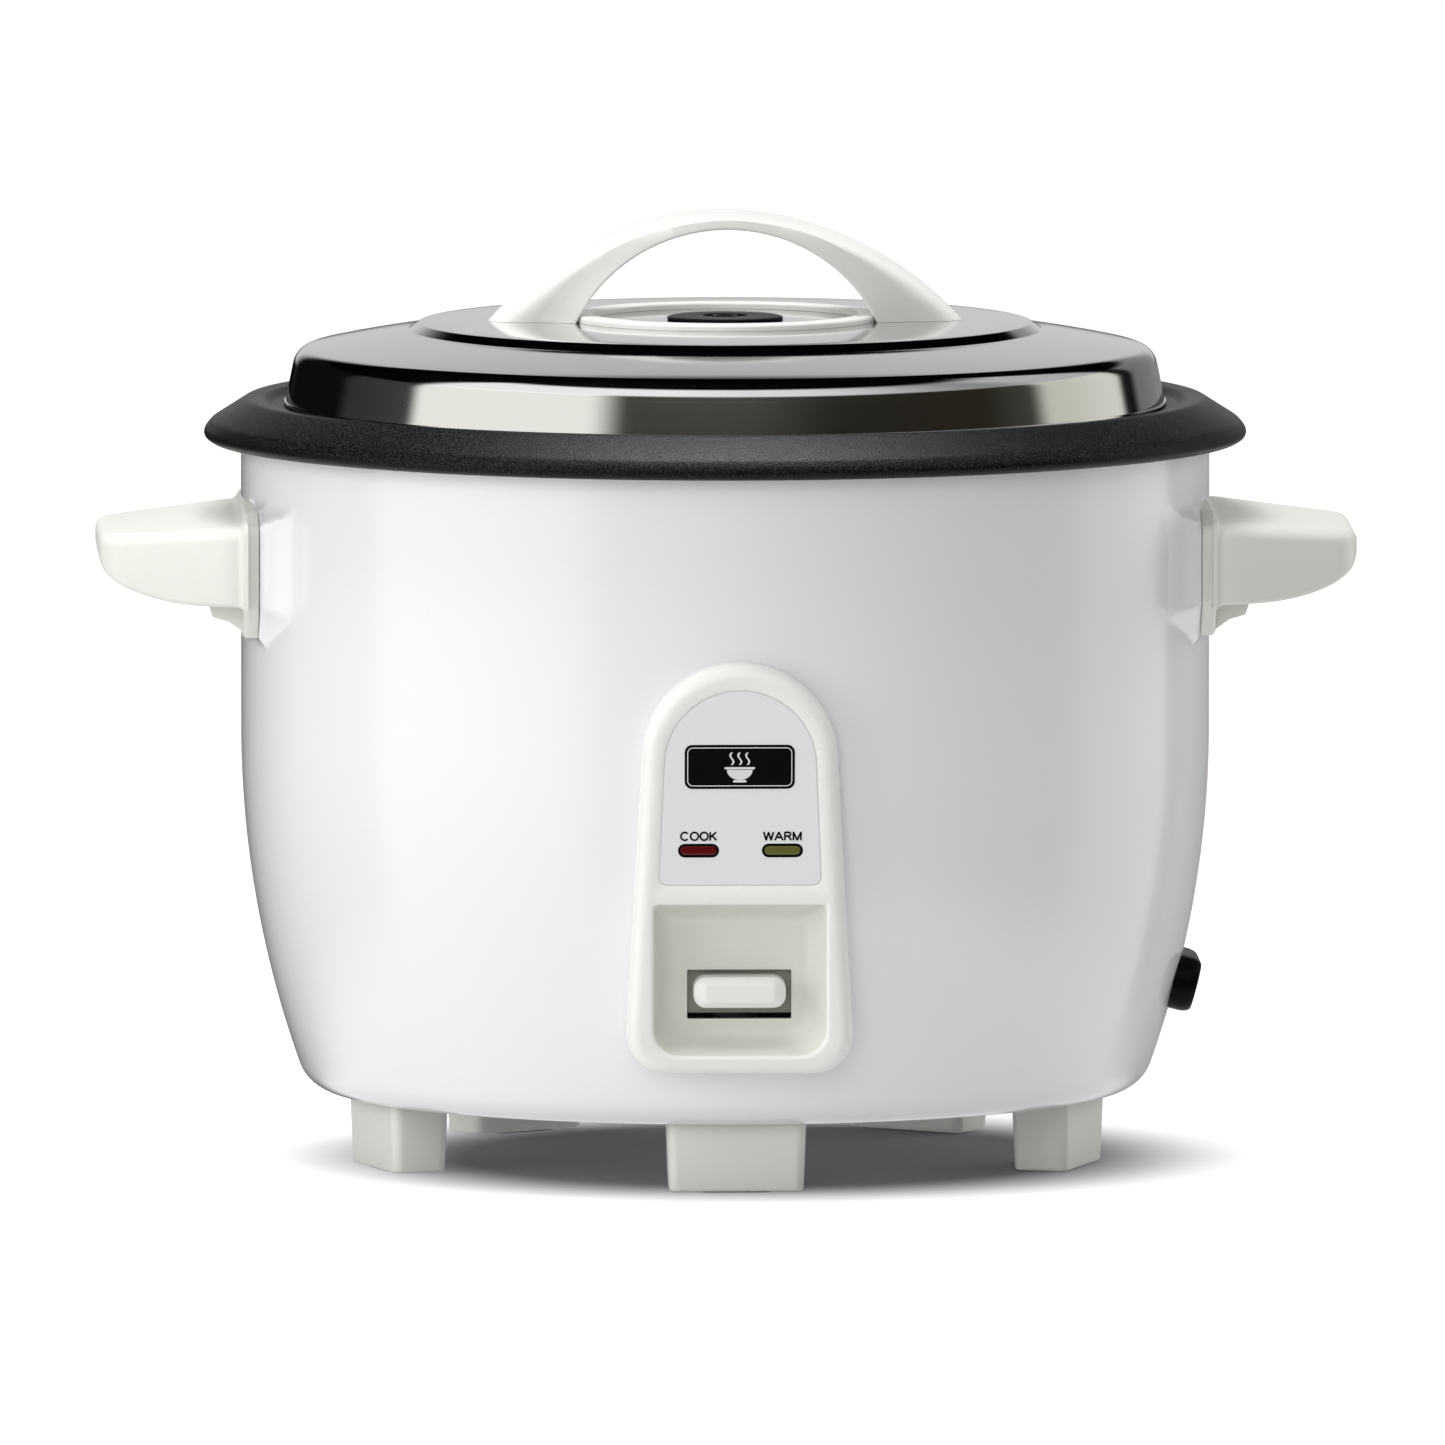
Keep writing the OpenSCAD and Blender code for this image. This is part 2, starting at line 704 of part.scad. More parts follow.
module fuse_clip() {
    color([0.7, 0.71, 0.73]) translate([-4, 0, plate_under - 6.8]) {
        translate([0, 36.4, 0]) cube([8, 7.2, 1]);
        for (y = [36.4, 42.6]) translate([0, y, 0]) cube([8, 1, 6.8]);
    }
}

// ---------- pot sensor ----------

module thermostat_frame() {
    color([0.7, 0.71, 0.72]) difference() {
        union() {
            translate([0, 0, frame_z]) cylinder(r = 24, h = 1.5);
            translate([0, 0, frame_z]) cylinder(r = 14.2, h = 21);
            for (x = [-25.5, 24]) {
                translate([x - 0.5, -6, frame_z]) cube([2, 12, plate_under - frame_z]);
            }
            for (x = [-25.9, 21]) translate([x, -6, frame_z]) cube([4.9, 12, 1.5]);
        }
        translate([0, 0, frame_z + 1.5]) cylinder(r = 12.8, h = 30);
        translate([0, 0, frame_z - 1]) cylinder(r = 3.2, h = 10);
    }
}
module sensor_cup() {
    color([0.78, 0.79, 0.8]) difference() {
        rotate_extrude() polygon([
            [0, cup_low], [cup_r, cup_low], [cup_r, plate_top - 1.5], [cup_r - 1.5, plate_top],
            [0, plate_top]]);
        translate([0, 0, cup_low - 1]) cylinder(r = cup_r - 1, h = 22);
    }
}
module ferrite_disc() {
    color([0.2, 0.2, 0.22]) translate([0, 0, ferrite_low]) cylinder(r = 12, h = 5);
}
module sensor_spring() {
    turns = 3;
    steps = 20;
    wire = 0.5;
    low = frame_z + 1.5 + wire;
    rise = cup_low - wire - low;
    path = [for (i = [0:turns * steps]) let (a = 360 * i / steps)
        [16.2 * cos(a), 16.2 * sin(a), low + rise * i / (turns * steps)]];
    color([0.6, 0.6, 0.62]) tube(path, wire - 0.05, 6, [0, 0, 1]);
}
module magnet() {
    color([0.25, 0.25, 0.27]) translate([0, 0, magnet_low]) cylinder(r = 12, h = magnet_h);
}
module pull_rod() {
    color([0.75, 0.76, 0.78]) {
        translate([0, 0, rod_low]) cylinder(r = 2.5, h = magnet_low - rod_low);
        translate([0, 0, magnet_low - 1.5]) cylinder(r = 8, h = 1.5);
    }
}

// ---------- power inlet ----------

module at_inlet() { translate([inlet_x, 0, inlet_z]) rotate([0, inlet_a, 0]) children(); }

module power_inlet() {
    color([0.06, 0.06, 0.07]) difference() {
        union() {
            at_inlet() hull() {
                along_x(-4, 2.6) round_rect(inlet_w, inlet_h, 9);
                along_x(4.9, 5) round_rect(inlet_w - 2, inlet_h - 1.2, 8.4);
                along_x(inlet_proud - 0.1, inlet_proud) round_rect(inlet_w - 5.2, inlet_h - 3.2, 7.4);
            }
        }
        drum_space(fit);
        at_inlet() inlet_cavity();
        at_inlet() for (y = [-1, 1]) translate([0, y * inlet_screw_y, 0]) {
            rod_x(1.6, -8, 8);
            rod_x(3, 4.5, 8);
        }
    }
    color([0.06, 0.06, 0.07]) difference() {
        at_inlet() along_x(-11, 3) round_rect(cavity_w + 2, cavity_h + 1.8, 1.2);
        at_inlet() inlet_cavity();
        at_inlet() blades(-12, 0);
    }
}
module inlet_cavity() {
    w = cavity_w / 2;
    h = cavity_h / 2;
    c = 4.5;
    along_x(-9, 8) polygon([[-w, h], [w, h], [w, c - h], [w - c, -h], [c - w, -h], [-w, c - h]]);
}
module blades(x0, x1) {
    for (p = [[-blade_y, blade_drop / 2], [blade_y, blade_drop / 2], [0, -blade_drop / 2]])
        translate([x0, p[0] - 1, p[1] - 2]) cube([x1 - x0, 2, 4]);
}
module inlet_pins() { color([0.85, 0.8, 0.6]) at_inlet() blades(-17, 4.6); }
module inlet_screws() {
    color([0.7, 0.7, 0.72]) at_inlet() for (y = [-1, 1]) translate([0, y * inlet_screw_y, 0]) {
        rod_x(2.8, 4.5, 6);
        rod_x(1.5, -7, 4.6);
    }
}

// Wires between the inlet, the heater, the micro switch and the lamps, chosen to clear the lever
wire_r = 1.6;
wire_routes = [
    [[138.2, -7, 68], [131, -9, 60], [118, -13, 47], [100, -19, 40], [80, -22, 38], [64, -22, 39],
        [58, -22, 48.4]],
    [[138.2, 7, 68], [131, 9, 60], [118, 12, 46], [100, 9, 35], [70, -2, 33], [40, -30, 33], [20, -54, 34],
        [6.7, -64, 35]],
    [[137.6, 0, 64], [131, 2, 54], [126, 8, 42], [120, 20, 33], [113.6, 29.4, 29.5]],
    [[-6.7, -66, 35], [-20, -80, 36], [-26, -108, 44], [-31, -134, 54], [-32, -150, 68], [-30.5, -153.5, 85],
        [-26, -155.3, 102], [-20, -155.3, 113], [-16, -155.9, 119]],
];
module wiring() {
    color([0.75, 0.2, 0.15]) for (route = wire_routes) tube(smooth(route, 4), wire_r, 8, [0.3, 0.9, 0.1]);
}
module earth_lug() {
    color([0.85, 0.75, 0.4]) translate([lug_at[0], lug_at[1], base_top]) {
        cylinder(r = 4, h = 1);
        translate([0, 0, 0.9]) cylinder(r = 3, h = 2);
        translate([0, 0, -3]) cylinder(r = 1.5, h = 4);
        rotate(-25) translate([0, -2.5, 0]) cube([6.5, 5, 1]);
    }
}

// ---------- pot ----------

module inner_pot() {
    c = 28;
    low = pot_floor;
    out = pot_r + pot_t;
    tip_x = lip_r - 3;
    lean = atan2(crest_z - (tip_z + 2.5), lip_r - 1 - crest_r);
    color([0.16, 0.16, 0.17]) rotate_extrude() polygon(concat(
        [[0, low]],
        arc(out - c, low + c, c, -90, 0, 9),
        [[out, ledge_z - pot_t], [158, ledge_z - pot_t], [crest_r, crest_z - pot_t - 0.2]],
        arc(tip_x - 1.4, tip_z - 0.2, 2.2, 90 - lean, 0, 4),
        [[tip_x - 0.4, lip_low + 1.6], [172.7, lip_low + 1.6], [172.7, lip_low]],
        arc(tip_x - 1.2, lip_low + 4.2, 4.2, -90, 0, 4),
        arc(tip_x - 1.2, tip_z + 0.2, 4.2, 0, 90 - lean, 5),
        arc(crest_r - 0.6, crest_z - 1.6, 1.6, 90 - lean, 150, 5),
        [[156.6, ledge_z], [pot_r, ledge_z]],
        arc(out - c, low + c, c - pot_t, 0, -90, 9),
        [[0, low + pot_t]]
    ));
}

// ---------- lid ----------

// The lid's outline from its lower edge to the vent hole, moved in by t
function lid_line(t) = concat(
    [[lid_rim_r - t, lid_z + 1.6]],
    arc(lid_r - lid_shoulder, lid_shoulder_z, lid_shoulder - t, 11, 78, 7),
    [[step_r + 0.3, step_z - t], [plateau_r, plateau_z - t], [vent_hole_r, crown_z - t]]
);
module lid_pan() {
    color([0.75, 0.76, 0.77]) difference() {
        union() {
            rotate_extrude() polygon(concat(lid_line(0), reversed(lid_line(lid_t))));
            rotate_extrude() translate([lid_rim_r - 0.5, lid_z + 1.1]) circle(r = 1.1, $fn = 24);
        }
        for (x = [-1, 1]) translate([x * lid_screw_x, 0, 280]) cylinder(r = 2.2, h = 20);
    }
}

module lid_handle() {
    half = lid_handle_w / 2;
    deep = 25;
    seat = crown_z + 0.05;
    lens_r = (half * half + deep * deep) / (2 * deep);
    arch_r = (half * half + pow(lid_handle_top - plateau_z, 2)) / (2 * (lid_handle_top - plateau_z));
    hole_r = 57.4;
    hole_z = lid_handle_top - 4.2 - hole_r;
    color([0.93, 0.94, 0.93]) difference() {
        union() {
            difference() {
                intersection() {
                    translate([0, 0, lid_handle_top - arch_r]) sphere(r = arch_r, $fn = 96);
                    translate([0, lens_r - deep, 280]) cylinder(r = lens_r, h = 60, $fn = 96);
                    translate([0, deep - lens_r, 280]) cylinder(r = lens_r, h = 60, $fn = 96);
                }
                translate([0, 0, hole_z]) rod_y(hole_r, -60, 60);
            }
            difference() {
                translate([0, 0, 287.5]) cylinder(r = ring_out_r, h = crown_z + ring_h - 287.5);
                translate([0, 0, 280]) cylinder(r = ring_in_r, h = 30);
            }
        }
        rotate_extrude()
            polygon([[0, 270], [0, seat], [vent_hole_r, seat], [plateau_r, plateau_z + 0.05], [120, 270]]);
        for (x = [-1, 1]) translate([x * lid_screw_x, 0, 280]) cylinder(r = 1.7, h = 21);
    }
}
module lid_handle_screws() {
    color([0.75, 0.76, 0.78]) for (x = [-1, 1]) translate([x * lid_screw_x, 0, 0]) {
        translate([0, 0, 286.2]) cylinder(r = 4.2, h = 2.8);
        translate([0, 0, 287.6]) cylinder(r = 1.7, h = 11);
    }
}

module steam_vent() {
    u = crown_z;
    color([0.05, 0.05, 0.05]) rotate_extrude() polygon([
        [3, u - 4.8], [vent_hole_r - 0.2, u - 4.8], [vent_hole_r + 2, u - 2.4], [vent_hole_r - 0.1, u - 0.9],
        [vent_hole_r - 0.1, u + 0.05], [20, u + 0.05], [20, u + 0.7], [19.3, u + 1.1], [12, u + 1.3],
        [3, u + 1.3]]);
}

// ---------- assembly ----------

outer_shell();
inner_liner();
base_plate();
foot_front();
foot_right();
foot_left();
foot_rear_right();
foot_rear_left();
foot_pads();
foot_screws();
side_handle_right();
side_handle_left();
side_handle_screws();
control_panel();
panel_screws();
label_plate();
cook_lens();
warm_lens();
cook_lamp();
warm_lamp();
lamp_holder();
heating_plate();
plate_standoffs();
plate_screws();
heater_terminals();
heat_reflector();
keep_warm_thermostat();
thermal_fuse();
fuse_clip();
thermostat_frame();
sensor_cup();
ferrite_disc();
sensor_spring();
magnet();
pull_rod();
switch_bracket();
lever_pin();
lever_spring();
switch_lever();
lever_paddle();
micro_switch();
switch_plunger();
power_inlet();
inlet_pins();
inlet_screws();
wiring();
earth_lug();
inner_pot();
lid_pan();
lid_handle();
lid_handle_screws();
steam_vent();
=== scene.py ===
import json
import math

import bmesh
import bpy
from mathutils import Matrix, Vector

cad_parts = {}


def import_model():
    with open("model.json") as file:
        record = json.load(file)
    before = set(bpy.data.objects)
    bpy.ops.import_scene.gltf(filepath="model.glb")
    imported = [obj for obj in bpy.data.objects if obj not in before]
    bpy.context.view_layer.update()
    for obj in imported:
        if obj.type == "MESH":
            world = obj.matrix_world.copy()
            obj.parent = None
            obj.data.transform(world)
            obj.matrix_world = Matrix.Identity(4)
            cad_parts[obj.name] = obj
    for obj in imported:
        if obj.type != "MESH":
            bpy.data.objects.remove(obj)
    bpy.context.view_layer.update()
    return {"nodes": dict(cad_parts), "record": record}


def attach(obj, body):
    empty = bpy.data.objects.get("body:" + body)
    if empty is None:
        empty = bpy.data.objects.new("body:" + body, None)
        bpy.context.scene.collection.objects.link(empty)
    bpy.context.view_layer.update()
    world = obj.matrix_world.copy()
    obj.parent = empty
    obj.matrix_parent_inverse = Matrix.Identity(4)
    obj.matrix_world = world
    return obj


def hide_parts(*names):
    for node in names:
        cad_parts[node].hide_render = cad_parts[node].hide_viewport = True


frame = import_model()
MM = 0.001
scene = bpy.context.scene
scene.view_settings.view_transform = "Standard"


# ---- small geometry helpers (millimetres)

def arc(cx, cy, r, a0, a1, n):
    return [(cx + r * math.cos(math.radians(a0 + (a1 - a0) * i / n)),
             cy + r * math.sin(math.radians(a0 + (a1 - a0) * i / n))) for i in range(n + 1)]


def rounded(points, n=6, closed=True):
    """A path whose corners (x, y, radius) are rounded."""
    out = []
    count = len(points)
    for i, (x, y, r) in enumerate(points):
        if r <= 0 or (not closed and i in (0, count - 1)):
            out.append((x, y))
            continue
        p = Vector((x, y))
        a = (Vector(points[i - 1][:2]) - p).normalized()
        b = (Vector(points[(i + 1) % count][:2]) - p).normalized()
        half = a.angle(b) / 2
        if abs(half - math.pi / 2) < 1e-4:
            out.append((x, y))
            continue
        t = r / math.tan(half)
        centre = p + (a + b).normalized() * (r / math.sin(half))
        s, e = p + a * t - centre, p + b * t - centre
        turn = s.angle_signed(e)
        steps = max(2, int(n * abs(turn) / (math.pi / 2) + 0.5))
        base = math.atan2(s.y, s.x)
        for k in range(steps + 1):
            ang = base - turn * k / steps
            out.append((centre.x + r * math.cos(ang), centre.y + r * math.sin(ang)))
    return out


def corners(x0, x1, y0, y1, low_r, high_r, low_n, high_n):
    """A rectangle with round corners, whose radii and steps may differ between its low and high pairs."""
    return (arc(x1 - low_r, y0 + low_r, low_r, -90, 0, low_n)
            + arc(x1 - high_r, y1 - high_r, high_r, 0, 90, high_n)
            + arc(x0 + high_r, y1 - high_r, high_r, 90, 180, high_n)
            + arc(x0 + low_r, y0 + low_r, low_r, 180, 270, low_n))


def eased(a, b, c, r, n=5):
    """The corner a-b-c eased over a length r, always with n + 1 points."""
    b = Vector(b)
    s, e = b + (Vector(a) - b).normalized() * r, b + (Vector(c) - b).normalized() * r
    return [tuple(s * (1 - t) ** 2 + b * 2 * t * (1 - t) + e * t * t) for t in (k / n for k in range(n + 1))]


def linked(name, me, mats=()):
    """An object for the mesh, in the scene, with its one material or list of them."""
    ob = bpy.data.objects.new(name, me)
    scene.collection.objects.link(ob)
    for m in (mats if isinstance(mats, (list, tuple)) else [mats]):
        me.materials.append(m)
    return ob


def make(name, verts, faces, mats, body, slot=None, replaces=(), face_mats=None, angle=38):
    """A piece from points in millimetres; angle is the sharpest edge that is shaded smooth."""
    me = bpy.data.meshes.new(name)
    me.from_pydata([Vector(v) * MM for v in verts], [], faces)
    ob = linked(name, me, mats)
    if face_mats:
        me.polygons.foreach_set("material_index", face_mats)
    finish_mesh(ob, angle)
    own(ob, body, slot, replaces)
    return ob


def finish_mesh(ob, angle=38, recalc=True):
    me = ob.data
    bm = bmesh.new()
    bm.from_mesh(me)
    bmesh.ops.remove_doubles(bm, verts=bm.verts, dist=1e-7)
    if recalc:
        bmesh.ops.recalc_face_normals(bm, faces=bm.faces)
    bm.to_mesh(me)
    bm.free()
    me.shade_smooth()
    me.set_sharp_from_angle(angle=math.radians(angle))


def own(ob, body, slot, replaces):
    """Tells the frame which body a piece rides on and hides the CAD nodes it replaces; slot is not used."""
    if body:
        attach(ob, body)
    if replaces:
        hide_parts(*replaces)


def lathe_data(prof, seg, keep=None):
    """A closed profile of (r, z) turned round Z; keep(i, k) False leaves a cell out."""
    verts, rows = [], []
    for r, z in prof:
        if r < 1e-6:
            rows.append([len(verts)])
            verts.append((0, 0, z))
        else:
            rows.append(list(range(len(verts), len(verts) + seg)))
            verts += [(r * math.cos(2 * math.pi * k / seg), r * math.sin(2 * math.pi * k / seg), z)
                      for k in range(seg)]
    faces, row_of = [], []
    for i in range(len(prof)):
        a, b = rows[i], rows[(i + 1) % len(rows)]
        if len(a) == 1 and len(b) == 1:
            continue
        for k in range(seg):
            if keep and not keep(i, k):
                continue
            j = (k + 1) % seg
            if len(a) == 1:
                f = (a[0], b[k], b[j])
            elif len(b) == 1:
                f = (a[k], b[0], a[j])
            else:
                f = (a[k], b[k], b[j], a[j])
            faces.append(f)
            row_of.append(i)
    return verts, faces, row_of


def lathe(name, prof, mats, body, slot=None, replaces=(), seg=256, row_mat=None, angle=32):
    verts, faces, row_of = lathe_data(prof, seg)
    face_mats = [row_mat(prof[i], prof[(i + 1) % len(prof)]) for i in row_of] if row_mat else None
    return make(name, verts, faces, mats, body, slot, replaces, face_mats, angle)


def loft_data(rings):
    """A closed skin over rings that have equal numbers of points."""
    n = len(rings[0])
    verts = [p for ring in rings for p in ring]
    faces = []
    for i in range(len(rings) - 1):
        for k in range(n):
            j = (k + 1) % n
            faces.append((i * n + k, (i + 1) * n + k, (i + 1) * n + j, i * n + j))
    faces.append(tuple(reversed(range(n))))
    faces.append(tuple(range((len(rings) - 1) * n, len(rings) * n)))
    return verts, faces


def tool(verts, faces):
    """A loose solid to cut or join with; it belongs to no body and carve() removes it."""
    return make("tool", verts, faces, (), None)


def carve(ob, cutter, how, angle):
    """Cuts the cutter from a piece, or joins it on, and keeps the result as plain mesh."""
    m = ob.modifiers.new("carve", "BOOLEAN")
    m.object, m.operation, m.solver = cutter, how, "EXACT"
    dg = bpy.context.evaluated_depsgraph_get()
    dg.update()
    me = bpy.data.meshes.new_from_object(ob.evaluated_get(dg))
    ob.modifiers.clear()
    ob.data = me
    bpy.data.objects.remove(cutter)
    finish_mesh(ob, angle, recalc=False)


class Shape:
    """A mesh built from rings of points that share their vertices, with flat fills between rings."""

    def __init__(self, place=lambda x, y, z: (x, y, z)):
        self.bm = bmesh.new()
        self.place = place

    def ring(self, pts):
        return [self.bm.verts.new(Vector(self.place(*p)) * MM) for p in pts]

    def band(self, a, b, mat=0):
        n = len(a)
        for k in range(n):
            self.bm.faces.new((a[k], b[k], b[(k + 1) % n], a[(k + 1) % n])).material_index = mat

    def bands(self, rings, mat=0):
        for a, b in zip(rings, rings[1:]):
            self.band(a, b, mat)

    def fill(self, *loops, mat=0):
        """A flat face inside the first loop and outside the others."""
        edges = []
        for loop in loops:
            for k in range(len(loop)):
                a, b = loop[k], loop[(k + 1) % len(loop)]
                edges.append(self.bm.edges.get((a, b)) or self.bm.edges.new((a, b)))
        made = bmesh.ops.triangle_fill(self.bm, use_beauty=True, use_dissolve=False, edges=edges)
        for g in made["geom"]:
            if isinstance(g, bmesh.types.BMFace):
                g.material_index = mat

    def done(self, name, mats, body, slot=None, replaces=(), angle=38):
        bmesh.ops.recalc_face_normals(self.bm, faces=self.bm.faces)
        me = bpy.data.meshes.new(name)
        self.bm.to_mesh(me)
        self.bm.free()
        ob = linked(name, me, mats)
        me.shade_smooth()
        me.set_sharp_from_angle(angle=math.radians(angle))
        own(ob, body, slot, replaces)
        return ob


# ---- materials

def add(n, kind, **settings):
    """A new shader node, such as Math or Mix, with its settings."""
    made = n.new("ShaderNode" + kind)
    for key, value in settings.items():
        setattr(made, key, value)
    return made


LOOKS = {}


def noise(n, link, where, scale, detail):
    tex = add(n, "TexNoise")
    tex.inputs["Scale"].default_value = scale
    tex.inputs["Detail"].default_value = detail
    link(where, tex.inputs["Vector"])
    return tex.outputs["Fac"]


def between(n, link, fac, first, second):
    """The colour that lies between two colours by a strength."""
    mix = add(n, "Mix", data_type="RGBA")
    mix.inputs[6].default_value = (*first, 1)
    mix.inputs[7].default_value = (*second, 1)
    link(fac, mix.inputs[0])
    return mix.outputs[2]


def material(name, color, rough, metal=0.0, tint=0.05, blotch=60, rough_var=0.05, grain=1500,
             bump=0.08, depth=0.0002, coat=0.0, spread="object", spec=0.5):
    """Principled material with soft colour blotches, uneven roughness and a fine surface grain."""
    m = bpy.data.materials.new(name)
    m.use_nodes = True
    nt = m.node_tree
    n, link = nt.nodes, nt.links.new
    p = n["Principled BSDF"]
    p.inputs["Metallic"].default_value = metal
    p.inputs["IOR"].default_value = 1.5
    p.inputs["Coat Weight"].default_value = coat
    p.inputs["Coat Roughness"].default_value = 0.06
    p.inputs["Specular IOR Level"].default_value = spec
    where = add(n, "TexCoord").outputs["Object"]
    if spread == "turned":
        where = turned(n, link, where)
    big = noise(n, link, where, blotch, 4.0)
    darker, lighter = [c * (1 - tint) for c in color], [min(1, c * (1 + tint)) for c in color]
    link(between(n, link, big, darker, lighter), p.inputs["Base Color"])
    span = add(n, "MapRange")
    span.inputs["To Min"].default_value = max(0.02, rough - rough_var)
    span.inputs["To Max"].default_value = min(1.0, rough + rough_var)
    link(big, span.inputs["Value"])
    link(span.outputs["Result"], p.inputs["Roughness"])
    b = add(n, "Bump")
    b.inputs["Strength"].default_value = bump
    b.inputs["Distance"].default_value = depth
    link(noise(n, link, where, grain, 2.0), b.inputs["Height"])
    link(b.outputs["Normal"], p.inputs["Normal"])
    LOOKS[name] = m
    return m


def turned(n, link, where):
    """Coordinates that only change with distance from the axis and with height: turning marks."""
    sep = add(n, "SeparateXYZ")
    link(where, sep.inputs[0])
    xy = add(n, "CombineXYZ")
    link(sep.outputs["X"], xy.inputs["X"])
    link(sep.outputs["Y"], xy.inputs["Y"])
    length = add(n, "VectorMath", operation="LENGTH")
    link(xy.outputs[0], length.inputs[0])
    out = add(n, "CombineXYZ")
    link(length.outputs["Value"], out.inputs["X"])
    link(sep.outputs["Z"], out.inputs["Z"])
    return out.outputs[0]


def speckle(m, dark, light, scale, low=0.50, high=0.72):
    """Gives a material's colour a fine close grain of light flecks on a dark ground."""
    n, link = m.node_tree.nodes, m.node_tree.links.new
    p = n["Principled BSDF"]
    where = add(n, "TexCoord").outputs["Object"]
    span = add(n, "MapRange")
    span.inputs["From Min"].default_value = low
    span.inputs["From Max"].default_value = high
    link(noise(n, link, where, scale, 1.0), span.inputs["Value"])
    link(between(n, link, span.outputs["Result"], dark, light), p.inputs["Base Color"])


ENAMEL = material("shell_enamel", (0.84, 0.84, 0.85), 0.17, tint=0.012, blotch=9, rough_var=0.03,
                  grain=260, bump=0.03, depth=0.0003, coat=0.5)
WHITE = material("white_plastic", (0.845, 0.86, 0.825), 0.26, tint=0.015, blotch=20, bump=0.03)
# pocket_painted_shade is white_plastic made darker: painted shade for the finger pocket's deeper walls and
# floor
POCKET_PAINTED_SHADE = material("pocket_painted_shade", (0.72, 0.735, 0.665), 0.34, tint=0.02, blotch=26, bump=0.04)
# slot_painted_shade is a dark grey-green plastic: painted shade on the slot's walls and on the shield seen
# through the slot
SLOT_PAINTED_SHADE = material("slot_painted_shade", (0.30, 0.31, 0.26), 0.45, tint=0.04, blotch=40, bump=0.05)
CREAM = material("cream_plastic", (0.74, 0.755, 0.70), 0.36, tint=0.02, blotch=22, grain=1900, bump=0.10)
LABEL = material("label_film", (0.79, 0.79, 0.795), 0.33, tint=0.01, blotch=30, grain=2200, bump=0.04)
INK = material("black_ink", (0.002, 0.002, 0.0022), 0.35, tint=0.15, grain=2200, bump=0.02, spec=0.10)
PALE_INK = material("pale_ink", (0.72, 0.73, 0.74), 0.35, tint=0.03, grain=2200, bump=0.03)
RED = material("red_lens", (0.10, 0.002, 0.004), 0.16, tint=0.12, blotch=300, grain=2600, bump=0.02,
               coat=0.15, spec=0.3)
GREEN = material("green_lens", (0.115, 0.12, 0.026), 0.16, tint=0.12, blotch=300, grain=2600, bump=0.02,
                 coat=0.15, spec=0.3)
COATING = material("pot_coating", (0.012, 0.012, 0.013), 0.34, spec=0.13, tint=0.2, rough_var=0.04,
                   grain=2100, bump=0.5, depth=0.0003)
speckle(COATING, (0.0012, 0.0012, 0.0013), (0.030, 0.032, 0.032), 2300)
BARE = material("bare_aluminium", (0.62, 0.62, 0.63), 0.32, metal=1.0, tint=0.06, blotch=30, grain=420,
                spread="turned")
STEEL = material("polished_steel", (0.80, 0.80, 0.79), 0.085, metal=1.0, tint=0.03, blotch=14,
                 rough_var=0.02, grain=1900, bump=0.05, depth=0.0001, spread="turned")
PLATE = material("machined_plate", (0.60, 0.61, 0.62), 0.34, metal=1.0, tint=0.07, blotch=35, grain=900,
                 bump=0.25, spread="turned")
material("zinc_steel", (0.55, 0.56, 0.58), 0.36, metal=1.0, tint=0.14, blotch=130, grain=700, bump=0.06)
material("screw_steel", (0.62, 0.61, 0.58), 0.28, metal=1.0, tint=0.08, blotch=260)
material("spring_steel", (0.42, 0.42, 0.43), 0.30, metal=1.0, tint=0.08, blotch=200)
BLACK = material("black_plastic", (0.0025, 0.0025, 0.003), 0.36, tint=0.15, grain=1700, spec=0.07)
material("pad_rubber", (0.055, 0.055, 0.058), 0.75, tint=0.15, blotch=90, bump=0.25)
material("dark_moulding", (0.035, 0.035, 0.038), 0.48, tint=0.12, blotch=80, grain=1200, bump=0.15)
material("board", (0.60, 0.60, 0.55), 0.50, grain=1200, bump=0.10)
material("ceramic", (0.78, 0.76, 0.70), 0.45, blotch=120, bump=0.10)
material("ferrite", (0.045, 0.045, 0.05), 0.50, metal=0.3, tint=0.15, blotch=120, grain=1400, bump=0.2)
material("brass_parts", (0.66, 0.58, 0.36), 0.26, metal=1.0, tint=0.08, blotch=160, grain=1300, bump=0.06)
material("red_plastic", (0.45, 0.03, 0.03), 0.35, tint=0.06, blotch=90, grain=1400, bump=0.06)
LAMP = material("lamp_glass", (0.62, 0.42, 0.28), 0.08, tint=0.08, blotch=160, bump=0.02, coat=0.4)
LAMP.node_tree.nodes["Principled BSDF"].inputs["Transmission Weight"].default_value = 0.6
material("wire_sleeve", (0.66, 0.63, 0.55), 0.70, tint=0.10, blotch=420, grain=1800, bump=0.5, depth=0.0004)

# the CAD nodes take the look named after their slot, except where the name differs
CAD_LOOK = {**LOOKS, "shell_paint": ENAMEL, "cast_aluminium": PLATE, "lid_steel": STEEL}
for part in frame["record"]["subparts"]:
    node = frame["nodes"][part["node"]]
    node.data.materials.clear()
    node.data.materials.append(CAD_LOOK[part["material_slot"]])


# ---- drum

SHELL_R, SHELL_TOP, SHELL_LOW = 167.2, 258.8, 24.0
BELLY_R, BELLY_Z, CORNER_R = 348.8, 150.0, 14.0
BELLY_X = SHELL_R - BELLY_R
CORNER_Z = SHELL_LOW + CORNER_R
CORNER_X = BELLY_X + math.sqrt((BELLY_R - CORNER_R) ** 2 - (BELLY_Z - CORNER_Z) ** 2)
CORNER_A = math.degrees(math.atan2(BELLY_Z - CORNER_Z, CORNER_X - BELLY_X))
PLATFORM_X, SHEET = 162.0, 1.0


def wall_r(z):
    return SHELL_R if z >= BELLY_Z else BELLY_X + math.sqrt(BELLY_R ** 2 - (BELLY_Z - z) ** 2)


